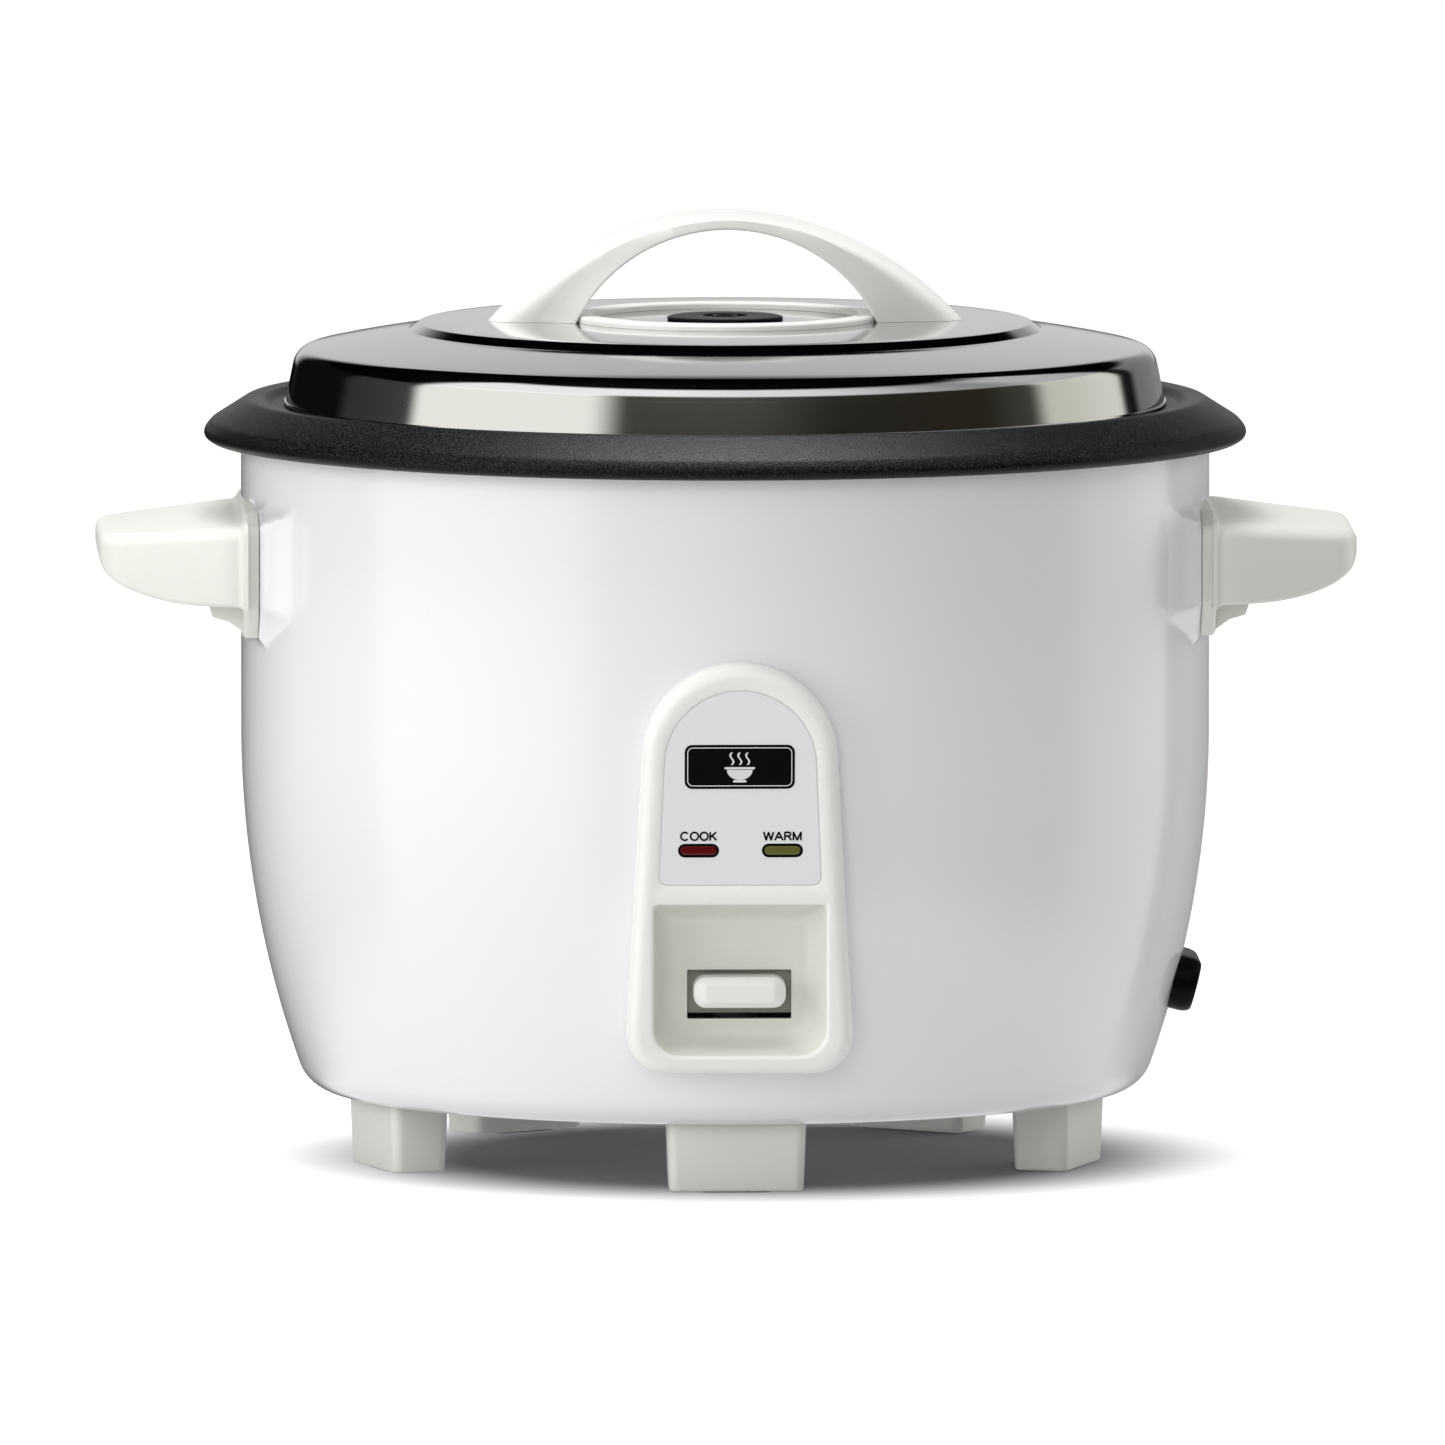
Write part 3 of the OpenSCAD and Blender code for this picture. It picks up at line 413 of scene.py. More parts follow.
def wall_depth(point, outside, inside, slack):
    """The depth at which point(depth) meets the drum's wall, from a depth outside it and one inside."""
    for _ in range(30):
        mid = (outside + inside) / 2
        px, py, pz = point(mid)
        if math.hypot(px, py) > wall_r(pz) + slack:
            outside = mid
        else:
            inside = mid
    return mid


def smin(a, b, k):
    h = max(0.0, k - abs(a - b)) / k
    return min(a, b) - h * h * k / 4


def smax(a, b, k):
    return -smin(-a, -b, k)


def seat_distance(u, z):
    """Signed distance outside the platform's eight-sided outline, about 66 mm half-wide."""
    u = abs(u)
    return max(u - 66.0, z - 228.5, 184.0 - z, (u - 66.0) * 0.26 + (z - 224.5) * 0.966,
               (u - 66.0) * 0.6 - (z - 196.5) * 0.8)


def pressed(r, cos_p, sin_p, z, soft):
    """Radius of the wall where the flat handle platform is pressed in it; soft rounds its edge."""
    for _ in range(6):
        u = r * sin_p
        drum_x = math.sqrt(max(1.0, wall_r(z) ** 2 - u * u)) - SHELL_R
        rise = max(seat_distance(u, z), 0.0)
        block = PLATFORM_X - SHELL_R - 1.9 * rise
        cut = PLATFORM_X - SHELL_R + 5.0 * rise
        r = (smax(smin(drum_x, cut, 1.2), block, soft) + SHELL_R) / cos_p
    return r


def shell_profile():
    outer = [(131.8, SHELL_LOW)] + arc(CORNER_X, CORNER_Z, CORNER_R, -90, -CORNER_A, 10)
    for i in range(1, 27):
        a = math.radians(-CORNER_A * (1 - i / 26))
        outer.append((BELLY_X + BELLY_R * math.cos(a), BELLY_Z + BELLY_R * math.sin(a)))
    outer += [(SHELL_R, z) for z in (155, 160, 165, 170, 174)]
    outer += [(SHELL_R, 176 + 1.5 * i) for i in range(46)]
    outer += [(SHELL_R, z) for z in (247, 251, 255)]
    outer += arc(SHELL_R - 2.5, SHELL_TOP - 2.5, 2.5, 0, 90, 6) + [(160.2, SHELL_TOP)]
    return outer


def drum():
    outer = shell_profile()
    seg = 560
    inner = []
    for i, (r, z) in enumerate(outer):
        a = Vector(outer[max(i - 1, 0)])
        b = Vector(outer[min(i + 1, len(outer) - 1)])
        t = (b - a).normalized()
        inner.append((r - t.y, z + t.x))
    prof = outer + inner[::-1]
    n_out = len(outer)

    def in_hole(i, k):
        """Whether a cell of the sheet lies in the window for the panel or for the inlet."""
        a = 360 * (k + 0.5) / seg
        j = i if i < n_out - 1 else 2 * n_out - 2 - i
        if j < 0 or j >= n_out - 1 or i == 2 * n_out - 1:
            return False
        z = (outer[j][1] + outer[j + 1][1]) / 2
        front = abs(a - 270) < 9.3 and 52 < z < 134
        side = min(a, 360 - a) < 4.9 and 53.0 < z < 70.6
        return front or side

    verts, faces, _ = lathe_data(prof, seg, keep=lambda i, k: not in_hole(i, k))
    out = []
    for x, y, z in verts:
        r = math.hypot(x, y)
        if 172 < z < 246 and abs(x) > 120 and r > 150:
            inside = r < SHELL_R - 0.5
            c, s = abs(x) / r, y / r
            new = pressed(r, c, s, z, 3.9 if inside else 4.5) - (SHEET if inside else 0.0)
            out.append((x / r * new, y / r * new, z))
        else:
            out.append((x, y, z))
    # the sheet's cut edge round each window
    for i in range(n_out - 1):
        for k in range(seg):
            if not in_hole(i, k):
                continue
            o, p = i * seg, (i + 1) * seg
            q, w = (2 * n_out - 1 - i) * seg, (2 * n_out - 2 - i) * seg
            j = (k + 1) % seg
            if not in_hole(i, (k - 1) % seg):
                faces.append((o + k, q + k, w + k, p + k))
            if not in_hole(i, j):
                faces.append((o + j, p + j, w + j, q + j))
            if i == 0 or not in_hole(i - 1, k):
                faces.append((o + k, o + j, q + j, q + k))
            if i == n_out - 2 or not in_hole(i + 1, k):
                faces.append((p + k, w + k, w + j, p + j))
    return make("drum_skin", out, faces, ENAMEL, "cooker", "shell_paint", ["outer_shell"], None, 40)


drum()

lathe("liner_skin", rounded([
    (106, 76, 0.3), (106, 72, 0.8), (128, 72, 0), (151, 72, 19), (151, 256.8, 1.2), (163.4, 256.8, 0.3),
    (163.4, 257.8, 0.3), (150, 257.8, 1.2), (150, 73, 18), (128, 73, 0), (107, 73, 0.5), (107, 76, 0.3),
], 8), BARE, "cooker", "bare_aluminium", ["inner_liner"], 192)

lathe("heating_plate_top", rounded([
    (19, 74, 0.4), (54, 74, 1), (56, 67.8, 3), (68, 67.8, 3), (70, 74, 1), (99, 74, 2.5), (100, 78, 1),
    (100, 87, 1.6), (98, 88, 2), (96, 88, 0), (21.5, 88, 1.2), (19, 86, 0.6),
], 5), PLATE, "cooker", "cast_aluminium", ["heating_plate"], 192)

lathe("sensor_cup_skin", rounded([
    (0, 87, 0), (15.4, 87, 1.2), (16, 85, 0.4), (16, 67.4, 0.4), (16, 66, 0.2), (17, 66, 0.3),
    (17, 85.8, 0.6), (15.8, 88, 1.6), (0, 88, 0),
], 5), PLATE, "sensor", "bare_aluminium", ["sensor_cup"], 96)


# ---- pot and lid

POT_IN, POT_OUT, POT_LOW = 145.0, 147.0, 88.3
lip_outer = [
    (156.6, 261.1, 1.0), (159.6, 263.2, 2.4), (165.2, 263.75, 3.2), (177.4, 256.0, 5.0), (179.95, 252.9, 3.6),
    (179.9, 250.4, 2.4), (177.4, 248.95, 1.6), (172.8, 248.9, 0.5), (172.8, 250.3, 0.4), (176.6, 250.7, 1.6),
    (177.3, 252.6, 2.2), (174.8, 254.6, 3.0), (164.6, 261.1, 2.6), (158.6, 260.3, 1.5), (157.0, 259.1, 1.0),
]
pot = rounded([(0, POT_LOW, 0), (POT_OUT, POT_LOW, 28), (POT_OUT, 259.1, 1.0)]
              + [(x, z, r) for x, z, r in reversed(lip_outer)]
              + [(POT_IN, 261.1, 1.0), (POT_IN, POT_LOW + 2, 26), (0, POT_LOW + 2, 0)], 7)


def pot_mat(a, b):
    """Bare metal (1) on the outer wall, the bottom and the curl under the lip; coating (0) elsewhere."""
    r, z = (a[0] + b[0]) / 2, (a[1] + b[1]) / 2
    if r > 170 and z < 249.6 and r < 177.6:
        return 1
    if r < POT_OUT + 0.4 and r > POT_IN + 0.9 and z < 259.2:
        return 1
    if z < POT_LOW + 1:
        return 1
    return 0


lathe("pot_body", pot, [COATING, BARE], "pot", "pot_coating", ["inner_pot"], 320, pot_mat, 50)


def lid_line(t):
    """The lid from its rim to the steam hole, drawn in by t: flared band, shoulder, slope, plateau."""
    band = [(151.75 - t, 262.6), (151.62 - t, 263.3), (151.56 - t, 263.6), (149.24 - t, 275.1)]
    shoulder = arc(141.98, 274.14, 7.3 - t, 11, 78, 12)
    slope = arc(62.47, -100.19, 390.0 - t, 78, 83, 6)
    step = rounded([(slope[-1][0] + 0.6, slope[-1][1] - 0.1, 0), (109.3, 287.05 - t, 1.4),
                    (105.6, 289.65 - t, 1.5), (100.0, 289.93 - t, 0)], 8, False)
    return band + shoulder + slope[1:-1] + step + [(60, 290.17 - t), (6, 290.5 - t)]


lid_out, lid_in = lid_line(0.0), lid_line(0.8)
lathe("lid_shell", lid_in + lid_out[::-1] + [(152.2, 262.55), (152.4, 262.1), (152.1, 261.6), (151.3, 261.4),
      (150.6, 261.7), (150.5, 262.3)], STEEL, "lid", "lid_steel", ["lid_pan"], 384, None, 30)

vent = rounded([(3, 285.7, 0.2), (5.8, 285.7, 0.4), (8, 288.1, 0.4), (5.9, 289.6, 0.3), (5.9, 290.6, 0.2),
                (20, 290.55, 0.2), (20, 291.3, 0.4), (18.6, 291.7, 1.0), (8.0, 291.8, 0.4), (7.2, 291.2, 0.4),
                (5.0, 291.2, 0.4), (4.4, 291.8, 0.4), (3, 291.8, 0.3)], 6)
lathe("vent_plug", vent, BLACK, "lid", "black_plastic", ["steam_vent"], 96, None, 36)


def lid_handle():
    """An arch between two arcs over a lens-shaped plan, on a flat ring, cut to the lid's cone."""
    top, half, deep, base = 327.4, 82.0, 25.0, 290.0
    ro = (half ** 2 + (top - base) ** 2) / (2 * (top - base))
    zo = top - ro
    ri, zi = 57.2, top - 4.3 - 57.2
    lens = (half ** 2 + deep ** 2) / (2 * deep)
    amax = math.degrees(math.asin(half / ro))
    bmax = math.degrees(math.acos((base - zi) / ri))
    rings = []
    steps = 80

    def width(x):
        return max(0.6, math.sqrt(max(0.0, lens ** 2 - x * x)) - (lens - deep))

    for i in range(steps + 1):
        t = -1 + 2 * i / steps
        a, b = math.radians(t * amax), math.radians(t * bmax)
        o = Vector((ro * math.sin(a), zo + ro * math.cos(a)))
        q = Vector((ri * math.sin(b), zi + ri * math.cos(b)))
        thick = (o - q).length
        d = (q - o).normalized()
        crease = min(0.62 * thick, 0.9 + 19.5 * abs(t) ** 1.7)
        mid = o + d * crease
        wc, wi = width(mid.x), width(q.x)
        # crowned top from crease to crease, then a flat face in to the opening
        crown = [(wc * math.sin(math.radians(k)), crease * (1 - math.cos(math.radians(k)) ** 0.9))
                 for k in range(-90, 91, 9)]
        inner = min(1.4, (thick - crease) * 0.4, wi * 0.3)
        sec = crown + eased((wc, crease), (wi, thick), (-wi, thick), inner)
        sec += eased((wi, thick), (-wi, thick), (-wc, crease), inner)
        ring = []
        for y, e in sec:
            p = o + d * e
            ring.append((p.x, y, base if abs(t) == 1 else max(p.y, base)))
        rings.append(ring)
    verts, faces = loft_data(rings)
    ob = make("lid_handle_grip", verts, faces, WHITE, "lid", "white_plastic", ["lid_handle"], None, 30)
    ring_prof = rounded([(45.5, base, 0), (52.6, base, 0), (52.6, 292.7, 1.2), (45.5, 292.7, 1.0)], 6)
    v, f, _ = lathe_data(ring_prof, 144)
    carve(ob, tool(v, f), "UNION", 30)
    # the plateau's gentle cone
    under = [(0, 280), (0, 290.56), (6, 290.56), (104, 289.96), (130, 280)]
    v, f, _ = lathe_data(under, 96)
    carve(ob, tool(v, f), "DIFFERENCE", 30)
    return ob


lid_handle()


# ---- side handles

HANDLE_TOP, REACH, HALF_W = 223.6, 217.0, 65.0
FLANGE_X0, FLANGE_X1 = PLATFORM_X + 0.1, PLATFORM_X + 5.5


def grip_section(x, inset):
    """Half-width, top and bottom of the grip at x."""
    tip = REACH - inset
    r = 16 - inset
    w = HALF_W - inset
    a = math.radians(20.7)
    cx, cy = tip - r, w - 17 - r
    x1, y1 = cx + r * math.sin(a), cy + r * math.cos(a)
    if x <= 172:
        half = w
    elif x <= x1:
        half = w + (y1 - w) * (x - 172) / (x1 - 172)
    else:
        half = cy + math.sqrt(max(0.0, r * r - (x - cx) ** 2))
    top = HANDLE_TOP - 4.0 * max(0.0, x - 172) / (REACH - 172)
    t = max(0.0, min(1.0, (x - 180) / (REACH - 180)))
    low = 212.0 - (212.0 - 196.4) * math.sqrt(max(0.0, 1 - t * t))
    return half, top, low


def grip_ring(x, inset, drop=0.0, raise_=0.0, shrink=0.0, corner=4.6, grow=0.0):
    half, top, low = grip_section(x, inset)
    half += grow - shrink
    top += grow * 0.8 - drop
    low += raise_ - grow * 0.6
    c = min(corner, (top - low) * 0.45)
    sec = rounded([(-half, top, c), (half, top, c), (half, low, min(1.6, c)), (-half, low, min(1.6, c))], 8)
    return [(x, y, z) for y, z in sec]


def octagon(grow):
    """The flange's outline, larger all round by grow."""
    hw, he = 64 + grow, 49 + grow * 0.7
    lo, hi = 184.5 - grow, 228 + grow
    elo, ehi = 197 - grow * 0.4, 223.5 + grow * 0.4
    return [(-he, lo, 3), (he, lo, 3), (hw, elo, 3), (hw, ehi, 3), (he, hi, 3), (-he, hi, 3), (-hw, ehi, 3),
            (-hw, elo, 3)]


def side_handle(name, node, mirror):
    rings = []
    for x, g in ((FLANGE_X1 - 1.5, 2.6), (FLANGE_X1, 2.2), (FLANGE_X1 + 0.5, 1.2), (FLANGE_X1 + 1.2, 0.5),
                 (FLANGE_X1 + 2.4, 0.1)):
        rings.append(grip_ring(x, 0, grow=g))
    for x in (172, 176, 180, 184, 188, 192, 196, 199, 201.5, 204, 206.5, 208.5, 210.3, 211.9, 213.2):
        rings.append(grip_ring(x, 0))
    for k in range(1, 9):
        a = math.radians(90 * k / 8)
        x = 213.6 + 3.4 * math.sin(a)
        rings.append(grip_ring(x, 0, drop=3.4 * (1 - math.cos(a)), raise_=1.2 * (1 - math.cos(a)),
                               shrink=1.6 * (1 - math.cos(a)) if k > 4 else 0.0))
    verts, faces = loft_data(rings)
    ob = make(name, verts, faces, CREAM, None, None, (), None, 34)
    # flange plate with eased edges
    plate = [[(x, y, z) for y, z in rounded(octagon(g), 4)] for x, g in (
        (FLANGE_X0, -0.6), (FLANGE_X0 + 0.4, 0.0), (FLANGE_X1 - 1.5, 0.0), (FLANGE_X1 - 0.8, -0.25),
        (FLANGE_X1 - 0.3, -0.8), (FLANGE_X1, -1.6))]
    carve(ob, tool(*loft_data(plate)), "UNION", 34)
    # block under the root
    side = rounded([(164, 185.5, 0), (167.4, 186.4, 1), (172.4, 190, 2), (178.0, 191.6, 1.6),
                    (180.2, 199, 0.5), (164, 199, 0)], 4)
    block = [[(x, y, z) for x, z in side] for y in (-47, 47)]
    carve(ob, tool(*loft_data(block)), "UNION", 34)
    # finger hollow from below
    hollow = []
    for x in (183.0, 186, 190, 194, 198, 201, 204, 206.5, 208.5, 210.3, 211.8, 213.0, 213.5):
        half, top, low = grip_section(x, 3.4)
        roof = HANDLE_TOP - 7.4
        sec = rounded([(-half, roof, 2.5), (half, roof, 2.5), (half, 180, 0), (-half, 180, 0)], 5)
        hollow.append([(x, y, z) for y, z in sec])
    carve(ob, tool(*loft_data(hollow)), "DIFFERENCE", 34)
    if mirror:
        for v in ob.data.vertices:
            v.co.x = -v.co.x
        ob.data.flip_normals()
    own(ob, "cooker", "cream_plastic", [node])
    return ob


side_handle("right_grip", "side_handle_right", False)
side_handle("left_grip", "side_handle_left", True)


# ---- control panel

PANEL_Y, PANEL_Z, LEAN = -168.0, 44.1, math.radians(3)
PANEL_H, ARCH_R, PANEL_HALF, PANEL_CORNER = 141.9, 33.7, 38.9, 14.0


def on_panel(x, y, z):
    """A point across, into and up the leaning panel, in the cooker's frame."""
    return (x, PANEL_Y + y * math.cos(LEAN) - z * math.sin(LEAN),
            PANEL_Z + y * math.sin(LEAN) + z * math.cos(LEAN))


def panel_outline(inset):
    r, w, ar = PANEL_CORNER - inset, PANEL_HALF - inset, ARCH_R - inset
    az = PANEL_H - ARCH_R
    side = [(w + (ar - w) * k / 8, inset + r + (az - inset - r) * k / 8) for k in range(1, 8)]
    pts = arc(w - r, inset + r, r, -90, 0, 12) + side + arc(0, az, ar, 0, 180, 44)
    return pts + [(-x, z) for x, z in reversed(side)] + arc(r - w, inset + r, r, 180, 270, 12)


def label_outline(inset):
    w, low, ar = 27.5 - inset, 66.0 + inset, 25.9 - inset
    az, q = 132.8 - 25.9, 2.6 - inset
    side = [(w + (ar - w) * k / 4, low + q + (az - low - q) * k / 4) for k in range(1, 4)]
    return (arc(w - q, low + q, q, -90, 0, 5) + side + arc(0, az, ar, 0, 180, 36)
            + [(-x, z) for x, z in reversed(side)] + arc(q - w, low + q, q, 180, 270, 5))


def pill_outline(cx, w, h):
    """A lamp window's outline."""
    r = h / 2
    return arc(cx + w / 2 - r, LENS_Z, r, -90, 90, 10) + arc(cx - w / 2 + r, LENS_Z, r, 90, 270, 10)


def pocket_outline(t, g):
    """The finger pocket's outline from its mouth (t 0) to its floor (t 1), larger all round by g."""
    half = 29.3 + (21.5 - 29.3) * t + g
    low = 7.1 + (14.7 - 7.1) * t - g
    high = 58.65 + (49.8 - 58.65) * t + g
    r, q = 9.0, 1.6 + 3.5 * t
    return corners(-half, half, low, high, r, q, 8, 5)


def at(pts, y):
    """A panel outline set at depth y."""
    return [(x, y, z) for x, z in pts]


LENS_X, LENS_Z = 14.35, 77.85
SLOT = [(17.85, 18.0), (17.85, 35.0), (-17.85, 35.0), (-17.85, 18.0)]


def panel_back(x, z):
    """Depth in the panel's frame at which it meets the drum's wall."""
    return wall_depth(lambda y: on_panel(x, y, z), 0.0, 30.0, -0.35)


def control_panel():
    s = Shape(on_panel)
    edge = 5.0
    rings = [s.ring(at(panel_outline(edge + 0.2), 0)), s.ring(at(panel_outline(edge), 0))]
    for k in range(1, 10):
        a = math.radians(90 * k / 9)
        rings.append(s.ring(at(panel_outline(edge * (1 - math.sin(a))), edge * (1 - math.cos(a)))))
    out = panel_outline(0)
    rings.append(s.ring([(x, max(edge + 0.4, panel_back(x, z)), z) for x, z in out]))
    inn = panel_outline(2.4)
    rings.append(s.ring([(x, max(edge + 0.3, panel_back(x, z)), z) for x, z in inn]))
    rings.append(s.ring(at(inn, 3.2)))
    s.bands(rings)
    # label recess
    lab0 = s.ring(at(label_outline(-0.65), 0))
    lab1 = s.ring(at(label_outline(-0.42), 0.12))
    lab2 = s.ring(at(label_outline(-0.40), 0.6))
    s.bands([lab0, lab1, lab2])
    holes_front, holes_back = [], []
    for x in (-LENS_X, LENS_X):
        a = s.ring(at(pill_outline(x, 13.7, 4.3), 0.6))
        b = s.ring(at(pill_outline(x, 13.7, 4.3), 3.2))
        s.band(a, b)
        holes_front.append(a)
        holes_back.append(b)
    s.fill(lab2, *holes_front)
    # finger pocket: an eased lip, then a cove down to the floor
    lip = 1.7
    pocket = [s.ring(at(pocket_outline(0, lip + 0.15), 0))]
    for k in range(0, 7):
        a = math.radians(78 * k / 6)
        pocket.append(s.ring(at(pocket_outline(0, lip * (1 - math.sin(a))), lip * (1 - math.cos(a)))))
    y0 = lip * (1 - math.cos(math.radians(78)))
    for k in range(1, 17):
        t = k / 16
        pocket.append(s.ring(at(pocket_outline(t, 0), y0 + (12.0 - y0) * (1 - (1 - t) ** 2.3))))
    pocket.append(s.ring(at(pocket_outline(1, -0.6), 12.0)))
    # the pocket's deeper bands and its floor take material 1, the darker plastic: painted shade in the recess
    for i, (a, b) in enumerate(zip(pocket, pocket[1:])):
        s.band(a, b, 0 if i < 5 else 1)
    s.fill(rings[0], lab0, pocket[0])
    # the slot's walls take material 2, the dark plastic: painted shade
    slot0, slot1 = (s.ring(at(rounded([(x, z, 0.5) for x, z in SLOT], 3), y)) for y in (12.0, 14.2))
    s.band(slot0, slot1, 2)
    s.fill(pocket[-1], slot0, mat=1)
    back = [s.ring(at(pocket_outline(1, 1.6), 14.2))]
    for t, y in ((0.75, 13.2), (0.4, 10.6), (0.15, 6.5), (0.02, 3.2)):
        back.append(s.ring(at(pocket_outline(t, 2.0), y)))
    s.bands(back)
    s.fill(back[0], slot1)
    s.fill(rings[-1], back[-1], *holes_back)
    return s.done("panel_bezel", [WHITE, POCKET_PAINTED_SHADE, SLOT_PAINTED_SHADE], "cooker", "white_plastic", ["control_panel"], 34)


control_panel()


def slab(s, outline, y0, y1, ease=0.0, mat=0, holes=()):
    """A flat piece on the panel from y1 (back) to y0 (front), with an eased front edge."""
    back = s.ring(at(outline(0), y1))
    mid = s.ring(at(outline(0), y0 + ease))
    front = s.ring(at(outline(ease), y0))
    s.bands([back, mid, front], mat)
    hf, hb = [], []
    for h in holes:
        a, b = s.ring(at(h, y0)), s.ring(at(h, y1))
        s.band(a, b, mat)
        hf.append(a)
        hb.append(b)
    s.fill(front, *hf, mat=mat)
    s.fill(back, *hb, mat=mat)


def label():
    s = Shape(on_panel)
    slab(s, label_outline, 0.10, 0.58, 0.12, 0,
         [pill_outline(x, 13.4, 4.1) for x in (-LENS_X, LENS_X)])
    for x in (-LENS_X, LENS_X):
        # black outline round each lamp window
        a = s.ring(at(pill_outline(x, 14.1, 4.75), 0.16))
        b = s.ring(at(pill_outline(x, 14.1, 4.75), 0.02))
        c = s.ring(at(pill_outline(x, 12.55, 3.2), 0.02))
        d = s.ring(at(pill_outline(x, 12.55, 3.2), 0.4))
        s.bands([a, b, c, d, a], 1)
    return s.done("label_plate_face", [LABEL, INK], "cooker", "label_film", ["label_plate"], 30)


label()


def box_outline(cx, cz, w, h, r, n=6):
    """A rounded rectangle, as a function of how far it is drawn in."""
    def f(inset):
        a, b, q = w / 2 - inset, h / 2 - inset, max(0.2, r - inset)
        return corners(cx - a, cx + a, cz - b, cz + b, q, q, n, n)
    return f


def badge():
    """A black plaque with a thin pale border and a plain bowl with three wisps of steam."""
    s = Shape(on_panel)
    cx, cz = -0.3, 106.75
    slab(s, box_outline(cx, cz, 37.7, 15.2, 2.6), -0.06, 0.2, 0.08, 0)
    outer, inner = box_outline(cx, cz, 35.9, 13.4, 1.9), box_outline(cx, cz, 35.3, 12.8, 1.6)
    a, b = s.ring(at(outer(0), -0.03)), s.ring(at(outer(0), -0.09))
    c, d = s.ring(at(inner(0), -0.09)), s.ring(at(inner(0), -0.03))
    s.bands([a, b, c, d, a], 1)

    def flat(pts):
        f, r = s.ring(at(pts, -0.12)), s.ring(at(pts, -0.03))
        s.band(f, r, 1)
        s.fill(f, mat=1)
        s.fill(r, mat=1)

    bowl = arc(cx, cz - 1.0, 4.4, 180, 360, 18)
    flat([(x, cz - 1.0 + (z - cz + 1.0) * 0.8) for x, z in bowl])
    flat(box_outline(cx, cz - 0.45, 10.4, 0.75, 0.3)(0))
    flat(box_outline(cx, cz - 4.95, 4.6, 0.8, 0.3)(0))
    for k in (-1, 0, 1):
        wave = [(cx + k * 2.7 + 0.55 * math.sin(2 * math.pi * t / 10), cz + 0.7 + 4.3 * t / 10)
                for t in range(11)]
        flat([(x + 0.32, z) for x, z in wave] + [(x - 0.32, z) for x, z in reversed(wave)])
    return s.done("badge_plaque", [INK, PALE_INK], "cooker", "label_film", (), 30)


badge()


def glyph(letter):
    """The strokes of a plain capital on a grid one unit high, and its width."""
    if letter in "CO":
        span = (42, 318) if letter == "C" else (0, 360)
        return [[(0.45 + 0.43 * x, 0.5 + 0.5 * y) for x, y in arc(0, 0, 1, span[0], span[1], 30)]], 0.90
    if letter == "K":
        return [[(0.05, 0), (0.05, 1)], [(0.68, 1), (0.05, 0.36)], [(0.27, 0.58), (0.72, 0)]], 0.74
    if letter == "W":
        tips = [(0, 1), (0.24, 0), (0.49, 1), (0.74, 0), (0.98, 1)]
        return [[a, b] for a, b in zip(tips, tips[1:])], 0.98
    if letter == "A":
        return [[(0, 0), (0.39, 1)], [(0.39, 1), (0.78, 0)], [(0.14, 0.34), (0.64, 0.34)]], 0.78
    if letter == "R":
        bowl = [(0.05, 0.98), (0.40, 0.98)] + arc(0.40, 0.745, 0.235, 90, -90, 12) + [(0.05, 0.51)]
        return [[(0.05, 0), (0.05, 1)], bowl, [(0.40, 0.50), (0.68, 0)]], 0.72
    tips = [(0.03, 0), (0.03, 1), (0.41, 0), (0.79, 1), (0.79, 0)]
    return [[a, b] for a, b in zip(tips, tips[1:])], 0.82


GAP, STROKE, OVERRUN = 0.17, 0.31, 0.1


def word(text, cx, cz, width, height):
    """Function lettering, printed on the label: one word of flat strokes, each STROKE to a side."""
    verts, faces, x = [], [], 0.0
    placed = []
    for letter in text:
        strokes, w = glyph(letter)
        placed += [[(x + px, pz) for px, pz in st] for st in strokes]
        x += w + GAP
    k = width / (x - GAP)
    for st in placed:
        path = [Vector((cx - width / 2 + px * k, cz + (pz - 0.5) * (height - 0.4))) for px, pz in st]
        rings = []
        for i, q in enumerate(path):
            d = (path[min(i + 1, len(path) - 1)] - path[max(i - 1, 0)]).normalized()
            if (path[0] - path[-1]).length < 1e-6 and i in (0, len(path) - 1):
                d = (path[1] - path[-2]).normalized()
            side = Vector((-d.y, d.x)) * STROKE
            if len(path) == 2:
                q = q + d * (OVERRUN if i else -OVERRUN)
            a, b = q + side, q - side
            rings.append([on_panel(a.x, 0.0, a.y), on_panel(b.x, 0.0, b.y), on_panel(b.x, 0.14, b.y),
                          on_panel(a.x, 0.14, a.y)])
        v, f = loft_data(rings)
        faces += [tuple(j + len(verts) for j in face) for face in f]
        verts += v
    make("print_" + text.lower(), verts, faces, INK, "cooker", "label_film", (), None, 30)


word("COOK", -LENS_X, 82.8, 12.2, 3.1)
word("WARM", LENS_X, 82.8, 12.8, 3.1)


def lens(name, x, mat, slot, node):
    s = Shape(on_panel)
    w, h = 12.4, 3.05
    rings = [s.ring(at(pill_outline(x, *size), y))
             for size, y in (((16.2, 6.2), 4.3), ((16.2, 6.2), 3.25), ((w, h), 3.2), ((w, h), 0.2))]
    for k in range(1, 6):
        a = math.radians(90 * k / 5)
        drawn_in = 1.2 * (1 - math.cos(a))
        rings.append(s.ring(at(pill_outline(x, w - drawn_in, h - drawn_in), 0.2 - 0.22 * math.sin(a))))
    s.bands(rings)
    s.fill(rings[0])
    s.fill(rings[-1])
    return s.done(name, mat, "cooker", slot, [node], 40)


lens("cook_window", -LENS_X, RED, "red_lens", "cook_lens")
lens("warm_window", LENS_X, GREEN, "green_lens", "warm_lens")


